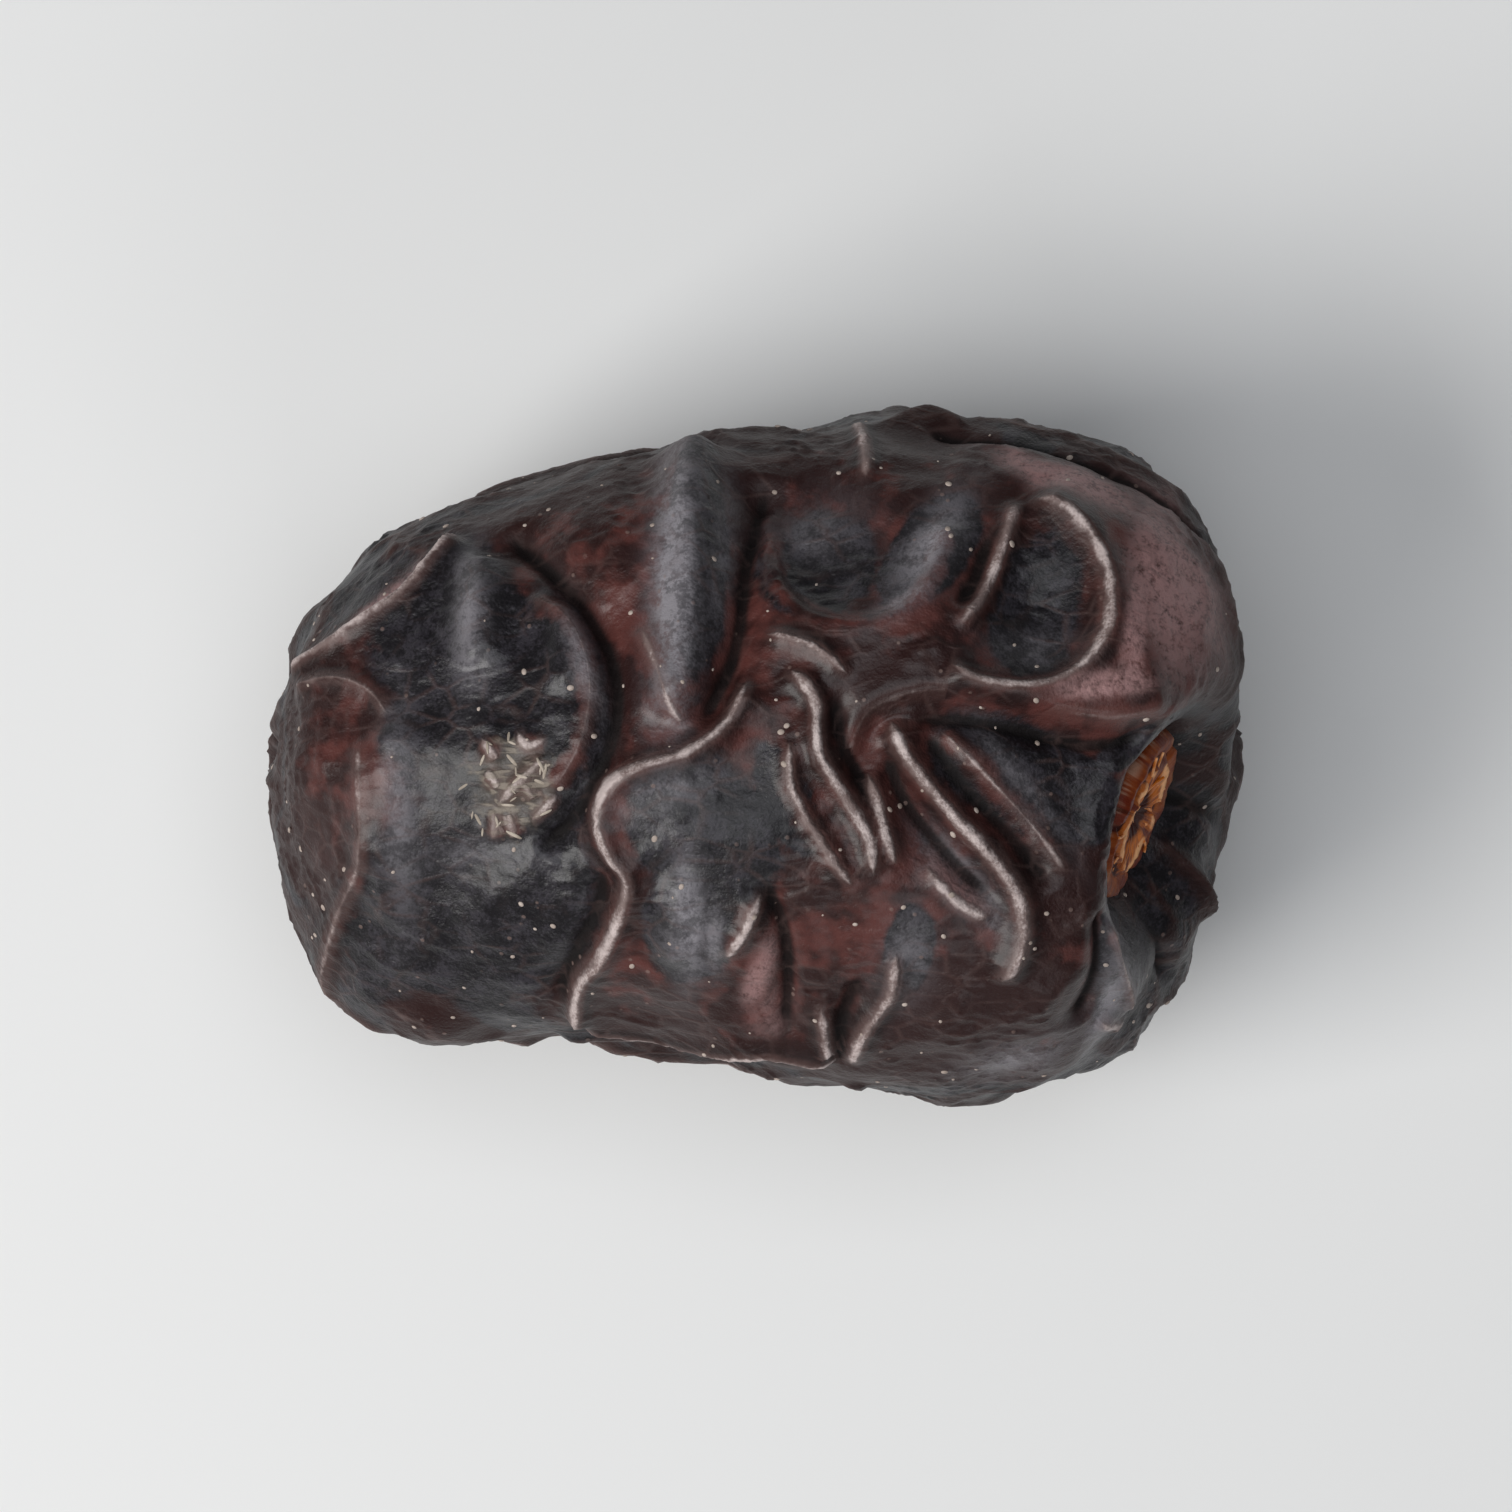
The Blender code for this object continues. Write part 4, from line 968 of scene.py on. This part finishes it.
class SkinSettings(bpy.types.PropertyGroup):
    """Colours and finish of the date's skin."""

    flesh: colour_setting("Flesh", "Where the skin clings to the dark flesh", (0.0075, 0.0062, 0.0080))
    bloom: colour_setting("Bloom", "Cool waxy bloom on the dark flesh", (0.030, 0.0265, 0.033))
    # Colour of the painted sheen patches
    sheen_paint: colour_setting("Frost", "The thickest of the waxy bloom", (0.245, 0.230, 0.250))
    thin_skin: colour_setting("Thin skin", "Where the skin stands off the flesh", (0.095, 0.0285, 0.0240))
    # Darker runs of the thin skin, and the colour of its painted shade
    deep_red_and_shade: colour_setting("Deep red", "Darker runs of the thin skin", (0.022, 0.0062, 0.0055))
    # Also the colour of the painted highlight on raised skin
    airy_and_lit_skin: colour_setting("Airy skin", "Thin skin with air under it", (0.37, 0.212, 0.206))
    fold_side: colour_setting("Fold sides", "Skin beside the sharp folds", (0.105, 0.062, 0.056))
    fold_edge: colour_setting("Fold edges", "Worn skin along the sharp folds", (0.20, 0.145, 0.135))
    # Also the colour of painted glints along the crests
    fold_tip_and_glint: colour_setting("Fold tips", "Palest wear along the sharp folds", (0.60, 0.505, 0.485))
    # Colour of the painted shade in crease bottoms and at the feet of the folds
    deep: colour_setting("Creases", "Bottoms of the creases", (0.0035, 0.0018, 0.0018))
    fleck: colour_setting("Flecks", "Pale pinpricks in the skin", (0.22, 0.15, 0.13))
    scurf: colour_setting("Scurf", "Dry beige skin of the frayed patch", (0.27, 0.23, 0.19))
    roughness: share_setting("Roughness", "How matt the skin is", 0.40)
    wax: share_setting("Wax", "Strength of the waxy coat", 0.25)
    fine_relief: length_setting("Fine relief", "Height of the finest wrinkles in the mesh", 0.00007)


class CalyxSettings(bpy.types.PropertyGroup):
    """Colours and fibres of the calyx base."""

    wood: colour_setting("Wood", "Amber wood of the calyx", (0.62, 0.165, 0.014))
    dark_wood: colour_setting("Dark wood", "Browner streaks of the calyx", (0.13, 0.014, 0.002))
    pit: colour_setting("Seams", "Seams and the pit where the stalk was", (0.045, 0.004, 0.001))
    fibre: colour_setting("Fibre", "Brightest fibres and scales", (0.98, 0.50, 0.22))
    papery: colour_setting("Papery edge", "Thin dry edge of the outer scales", (0.40, 0.29, 0.22))
    strands: count_setting("Strands", "Fibres that run out from the pit", 28)
    bristles: count_setting("Bristles", "Short fibres on the rim", 16)
    thickness: length_setting("Strand thickness", "Thickness of one fibre", 0.00011)


class ClingSettings(bpy.types.PropertyGroup):
    """What clings to the skin: specks of sugar and a frayed patch."""

    speck: colour_setting("Specks", "Dried sugar and dust", (0.34, 0.27, 0.23))
    scurf: colour_setting("Frayed skin", "Torn, dried skin", (0.30, 0.25, 0.20))
    specks: count_setting("Speck count", "Specks over the whole date", 320)
    speck_size: length_setting("Speck size", "Width of the largest specks", 0.00023)
    flakes: count_setting("Flake count", "Shreds in the frayed patch", 30)


class StageSettings(bpy.types.PropertyGroup):
    """The floor, the lights and the camera."""

    floor: colour_setting("Floor", "Colour of the floor", (0.86, 0.86, 0.855))
    key: power_setting("Key light", "Power of the key light", 1.0)
    front: power_setting("Front light", "Power of the low light", 0.14)
    top: power_setting("Top light", "Power of the overhead light", 0.6)
    sky: share_setting("Sky", "Strength of the light from all round", 0.065)
    lens: bpy.props.FloatProperty(
        name="Lens", description="Focal length", default=200.0, min=20.0, unit="CAMERA",
        subtype="DISTANCE_CAMERA",
    )
    fill: share_setting("Filled frame", "Share of the picture's width that the date takes", 0.68)


# Pieces

def mesh_object(name, bm, material, marks=None):
    mesh = bpy.data.meshes.new(name)
    bm.to_mesh(mesh)
    bm.free()
    mesh.shade_smooth()
    mesh.materials.append(material)
    for mark, values in (marks or {}).items():
        mesh.attributes.new(mark, "FLOAT", "POINT").data.foreach_set("value", values.astype(np.float32))
    return placed(bpy.data.objects.new(name, mesh))


def placed(item):
    bpy.context.scene.collection.objects.link(item)
    return item


def declare(piece, slot, *nodes):
    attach(piece, "root")
    if nodes:
        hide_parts(*nodes)


class AJWA_OT_skin(bpy.types.Operator):
    """Makes the wrinkled skin of the date"""

    bl_idname = "ajwa.skin"
    bl_label = "Wrinkled skin"

    def execute(self, context):
        skin = context.scene.ajwa_skin
        bm, marks = skin_mesh(skin.fine_relief)
        piece = mesh_object("wrinkled_skin", bm, skin_finish(skin), marks)
        declare(piece, "date_skin", "date_fruit")
        return {"FINISHED"}


class AJWA_OT_calyx(bpy.types.Operator):
    """Makes the woody base of the calyx in the stem end's hollow"""

    bl_idname = "ajwa.calyx"
    bl_label = "Calyx base"

    def execute(self, context):
        bm, marks = calyx_mesh()
        piece = mesh_object("calyx_cup", bm, calyx_finish(context.scene.ajwa_calyx), marks)
        piece.data.transform(calyx_place())
        declare(piece, "calyx_wood", "calyx_base")
        return {"FINISHED"}


INPUT_KINDS = {
    "Geometry": "NodeSocketGeometry", "Material": "NodeSocketMaterial", "Count": "NodeSocketInt",
    "Seed": "NodeSocketInt",
}


def new_group(name, *numbers):
    """A tree of geometry nodes, with its nodes and its named inputs as fields."""
    group = bpy.data.node_groups.new(name, "GeometryNodeTree")
    for label in ("Geometry", *numbers, "Material"):
        kind = INPUT_KINDS.get(label, "NodeSocketFloat")
        group.interface.new_socket(label, in_out="INPUT", socket_type=kind)
    group.interface.new_socket("Geometry", in_out="OUTPUT", socket_type="NodeSocketGeometry")
    nodes = Nodes(group)
    start = group.nodes.new("NodeGroupInput")
    fields = {output.name: Field(nodes, output) for output in start.outputs if output.name}
    return group, nodes, fields


def close_group(nodes, fields, geometry):
    """Ends a tree in real geometry with its material."""
    real = nodes.add("GeometryNodeRealizeInstances", None, {"Geometry": geometry})
    done = nodes.add("GeometryNodeSetMaterial", None, {"Geometry": real, "Material": fields["Material"]})
    nodes.put(nodes.tree.nodes.new("NodeGroupOutput").inputs[0], done)


def grown_mesh(name, group, host, values, finish):
    """The plain mesh that a tree of geometry nodes grows on a host mesh."""
    host_object = placed(bpy.data.objects.new(name + "_host", host))
    grower = host_object.modifiers.new(group.name, "NODES")
    grower.node_group = group
    names = {item.name: item.identifier for item in group.interface.items_tree if item.in_out == "INPUT"}
    for label, value in {**values, "Material": finish}.items():
        grower[names[label]] = value
    depsgraph = bpy.context.evaluated_depsgraph_get()
    mesh = bpy.data.meshes.new_from_object(host_object.evaluated_get(depsgraph))
    mesh.name = name
    bpy.data.objects.remove(host_object)
    return placed(bpy.data.objects.new(name, mesh))


def random_between(nodes, low, high, seed):
    """A random number for each point."""
    inputs = {2: low, 3: high, "Seed": seed}
    return nodes.add("FunctionNodeRandomValue", {"data_type": "FLOAT"}, inputs, output=1)


def fibre_group():
    """Fibres that spring from one point and run outwards over the calyx, in the calyx's own frame."""
    group, nodes, fields = new_group(
        "calyx_fibres", "Count", "Seed", "Start", "End", "Low", "Rise", "Thickness"
    )
    start, end, low, seed = (fields[label] for label in ("Start", "End", "Low", "Seed"))
    begin = nodes.add("ShaderNodeCombineXYZ", None, {0: start, 2: low})
    halfway = {0: (start + end) * 0.5, 1: (end - start) * 0.18, 2: low}
    middle = nodes.add("ShaderNodeCombineXYZ", None, halfway)
    finish = nodes.add("ShaderNodeCombineXYZ", None, {0: end, 2: low + fields["Rise"]})
    curve = nodes.add(
        "GeometryNodeCurveQuadraticBezier", None,
        {"Resolution": FIBRE_STEPS, "Start": begin, "Middle": middle, "End": finish},
    )
    along = nodes.add("GeometryNodeSplineParameter")
    radius = {"Curve": curve, "Radius": 1.0 - along * along * 0.75}
    curve = nodes.add("GeometryNodeSetCurveRadius", None, radius)
    ring = {"Resolution": FIBRE_SIDES, "Radius": fields["Thickness"] * 0.5}
    ring = nodes.add("GeometryNodeCurvePrimitiveCircle", {"mode": "RADIUS"}, ring)
    tube = {"Curve": curve, "Profile Curve": ring, "Fill Caps": True}
    tube = nodes.add("GeometryNodeCurveToMesh", None, tube)
    points = nodes.add("GeometryNodePoints", None, {"Count": fields["Count"], "Position": (0.0, 0.0, 0.0)})
    turn = nodes.add("GeometryNodeInputIndex") * GOLDEN_ANGLE + random_between(nodes, -0.3, 0.3, seed)
    roll = random_between(nodes, -0.5, 0.5, seed + 1)
    dip = random_between(nodes, -0.12, 0.12, seed + 2)
    rotation = nodes.add("ShaderNodeCombineXYZ", None, {0: roll * 0.2, 1: dip, 2: turn})
    size = random_between(nodes, 0.72, 1.0, seed + 3)
    strands = {"Points": points, "Instance": tube, "Rotation": rotation, "Scale": size}
    close_group(nodes, fields, nodes.add("GeometryNodeInstanceOnPoints", None, strands))
    return group


class AJWA_OT_calyx_fibres(bpy.types.Operator):
    """Grows the fibres of the calyx: strands on its face and bristles round its rim"""

    bl_idname = "ajwa.calyx_fibres"
    bl_label = "Calyx fibres"

    def execute(self, context):
        calyx = context.scene.ajwa_calyx
        group, finish = fibre_group(), fibre_finish(calyx)
        counts = {"calyx_strands": calyx.strands, "calyx_bristles": calyx.bristles}
        rim = CALYX_RADIUS * MM
        for name, (seed, start, end, low, rise, share) in FIBRE_RUNS.items():
            values = {
                "Count": counts[name], "Seed": seed, "Start": start * rim, "End": end * rim, "Low": low * MM,
                "Rise": rise * MM, "Thickness": calyx.thickness * share,
            }
            piece = grown_mesh(name, group, bpy.data.meshes.new(name + "_host"), values, finish)
            piece.data.transform(calyx_place())
            declare(piece, "calyx_wood")
        return {"FINISHED"}


def crumb_group():
    """Small crumbs scattered over a host mesh, flat against it."""
    group, nodes, fields = new_group("clinging_crumbs", "Density", "Seed", "Width", "Length", "Height")
    seed = fields["Seed"]
    scatter = {"Mesh": fields["Geometry"], "Density": fields["Density"], "Seed": seed}
    points = nodes.add("GeometryNodeDistributePointsOnFaces", {"distribute_method": "RANDOM"}, scatter)
    normal = Field(nodes, points.socket.node.outputs["Normal"])
    up = nodes.add("FunctionNodeAlignRotationToVector", {"axis": "Z"}, {"Vector": normal})
    spin = {"Axis": (0.0, 0.0, 1.0), "Angle": random_between(nodes, 0.0, 2.0 * math.pi, seed + 1)}
    spin = nodes.add("FunctionNodeAxisAngleToRotation", None, spin)
    turned = nodes.add("FunctionNodeRotateRotation", {"rotation_space": "LOCAL"}, {0: up, 1: spin})
    crumb = nodes.add("GeometryNodeMeshIcoSphere", None, {"Radius": 0.5, "Subdivisions": CRUMB_CUTS})
    sides = {0: fields["Length"], 1: fields["Width"], 2: fields["Height"]}
    shape = nodes.add("ShaderNodeCombineXYZ", None, sides)
    size = {0: shape, "Scale": random_between(nodes, 0.3, 1.0, seed + 2)}
    scale = nodes.add("ShaderNodeVectorMath", {"operation": "SCALE"}, size)
    crumbs = {"Points": points, "Instance": crumb, "Rotation": turned, "Scale": scale}
    close_group(nodes, fields, nodes.add("GeometryNodeInstanceOnPoints", None, crumbs))
    return group


def clinging_crumbs(name, is_kept, count, shape, finish, seed):
    """Crumbs scattered over the faces of the skin whose middles pass a test."""
    bm = bmesh.new()
    bm.from_mesh(bpy.data.objects["wrinkled_skin"].data)
    dropped = [face for face in bm.faces if not is_kept(face.calc_center_median())]
    bmesh.ops.delete(bm, geom=dropped, context="FACES")
    host = bpy.data.meshes.new(name + "_host")
    bm.to_mesh(host)
    bm.free()
    area = sum(face.area for face in host.polygons)
    values = {"Density": count / area, "Seed": seed, **dict(zip(("Width", "Length", "Height"), shape))}
    declare(grown_mesh(name, crumb_group(), host, values, finish), "date_skin")


class AJWA_OT_specks(bpy.types.Operator):
    """Scatters pale specks over the skin"""

    bl_idname = "ajwa.specks"
    bl_label = "Pale specks"

    def execute(self, context):
        cling = context.scene.ajwa_cling

        def is_kept(middle):
            return middle.z > SPECK_FLOOR * MM

        shape = [cling.speck_size * share for share in SPECK_SHAPE]
        finish = crumb_finish("pale_specks", cling.speck, PALE_SPECK)
        clinging_crumbs("pale_specks", is_kept, cling.specks, shape, finish, seed=5)
        return {"FINISHED"}


class AJWA_OT_frayed_patch(bpy.types.Operator):
    """Scatters shreds of torn skin over one worn patch"""

    bl_idname = "ajwa.frayed_patch"
    bl_label = "Frayed patch"

    def execute(self, context):
        cling = context.scene.ajwa_cling
        x, y, radius = (value * MM for value in FRAYED_PATCH)

        def is_kept(middle):
            return middle.z > TOP_HALF * MM and math.hypot(middle.x - x, middle.y - y) < 0.9 * radius

        finish = crumb_finish("frayed_skin", cling.scurf, PALE_SHRED)
        clinging_crumbs("frayed_shreds", is_kept, cling.flakes, SHRED_SHAPE, finish, seed=8)
        return {"FINISHED"}


class AJWA_OT_stage(bpy.types.Operator):
    """Lays the pale floor, hangs the soft lights and sets the camera straight above"""

    bl_idname = "ajwa.stage"
    bl_label = "Floor, lights and camera"

    def execute(self, context):
        scene = context.scene
        stage = scene.ajwa_stage
        bm = bmesh.new()
        bmesh.ops.create_grid(bm, x_segments=8, y_segments=8, size=FLOOR_HALF)
        bmesh.ops.translate(bm, verts=bm.verts, vec=(0.0, 0.0, -FLOOR_DROP))
        mesh_object("pale_floor", bm, floor_finish(stage.floor))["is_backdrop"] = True

        for name, (place, size, colour) in SOFTBOXES.items():
            light = bpy.data.lights.new(name + "_softbox", "AREA")
            light.shape = "RECTANGLE"
            light.size, light.size_y = size
            light.energy = getattr(stage, name)
            light.color = colour
            lamp = placed(bpy.data.objects.new(light.name, light))
            lamp.location = place
            lamp.rotation_euler = (-Vector(place)).to_track_quat("-Z", "Y").to_euler()

        scene.world = bpy.data.worlds.new("studio")
        scene.world.use_nodes = True
        sky = scene.world.node_tree.nodes["Background"]
        sky.inputs["Color"].default_value = SKY_COLOUR
        sky.inputs["Strength"].default_value = stage.sky

        low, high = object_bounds()
        centre = (low + high) / 2.0
        camera = bpy.data.cameras.new("camera")
        camera.lens = stage.lens
        camera.sensor_width = SENSOR
        camera.clip_start = MM
        away = (high.x - low.x) / stage.fill * camera.lens / camera.sensor_width
        scene.camera = placed(bpy.data.objects.new("camera", camera))
        scene.camera.location = (centre.x, centre.y, high.z + away)
        scene.view_settings.view_transform = "Standard"
        return {"FINISHED"}


OPERATORS = (
    AJWA_OT_skin, AJWA_OT_calyx, AJWA_OT_calyx_fibres, AJWA_OT_specks, AJWA_OT_frayed_patch, AJWA_OT_stage,
)

SETTINGS = {
    "ajwa_skin": SkinSettings,
    "ajwa_calyx": CalyxSettings,
    "ajwa_cling": ClingSettings,
    "ajwa_stage": StageSettings,
}


class AJWA_PT_sidebar(bpy.types.Panel):
    """Lists the date's pieces and their settings"""

    bl_idname = "AJWA_PT_sidebar"
    bl_label = "Ajwa Date"
    bl_space_type = "VIEW_3D"
    bl_region_type = "UI"
    bl_category = "Ajwa Date"

    def draw(self, context):
        for operator in OPERATORS:
            self.layout.operator(operator.bl_idname)
        for name, settings in SETTINGS.items():
            box = self.layout.box()
            for label in settings.__annotations__:
                box.prop(getattr(context.scene, name), label)


def register():
    for cls in (*SETTINGS.values(), *OPERATORS, AJWA_PT_sidebar):
        bpy.utils.register_class(cls)
    for name, settings in SETTINGS.items():
        setattr(bpy.types.Scene, name, bpy.props.PointerProperty(type=settings))


def unregister():
    for name in SETTINGS:
        delattr(bpy.types.Scene, name)
    for cls in reversed((*SETTINGS.values(), *OPERATORS, AJWA_PT_sidebar)):
        bpy.utils.unregister_class(cls)


def main():
    register()
    for operator in OPERATORS:
        family, name = operator.bl_idname.split(".")
        getattr(getattr(bpy.ops, family), name)()


if __name__ == "__main__":
    main()
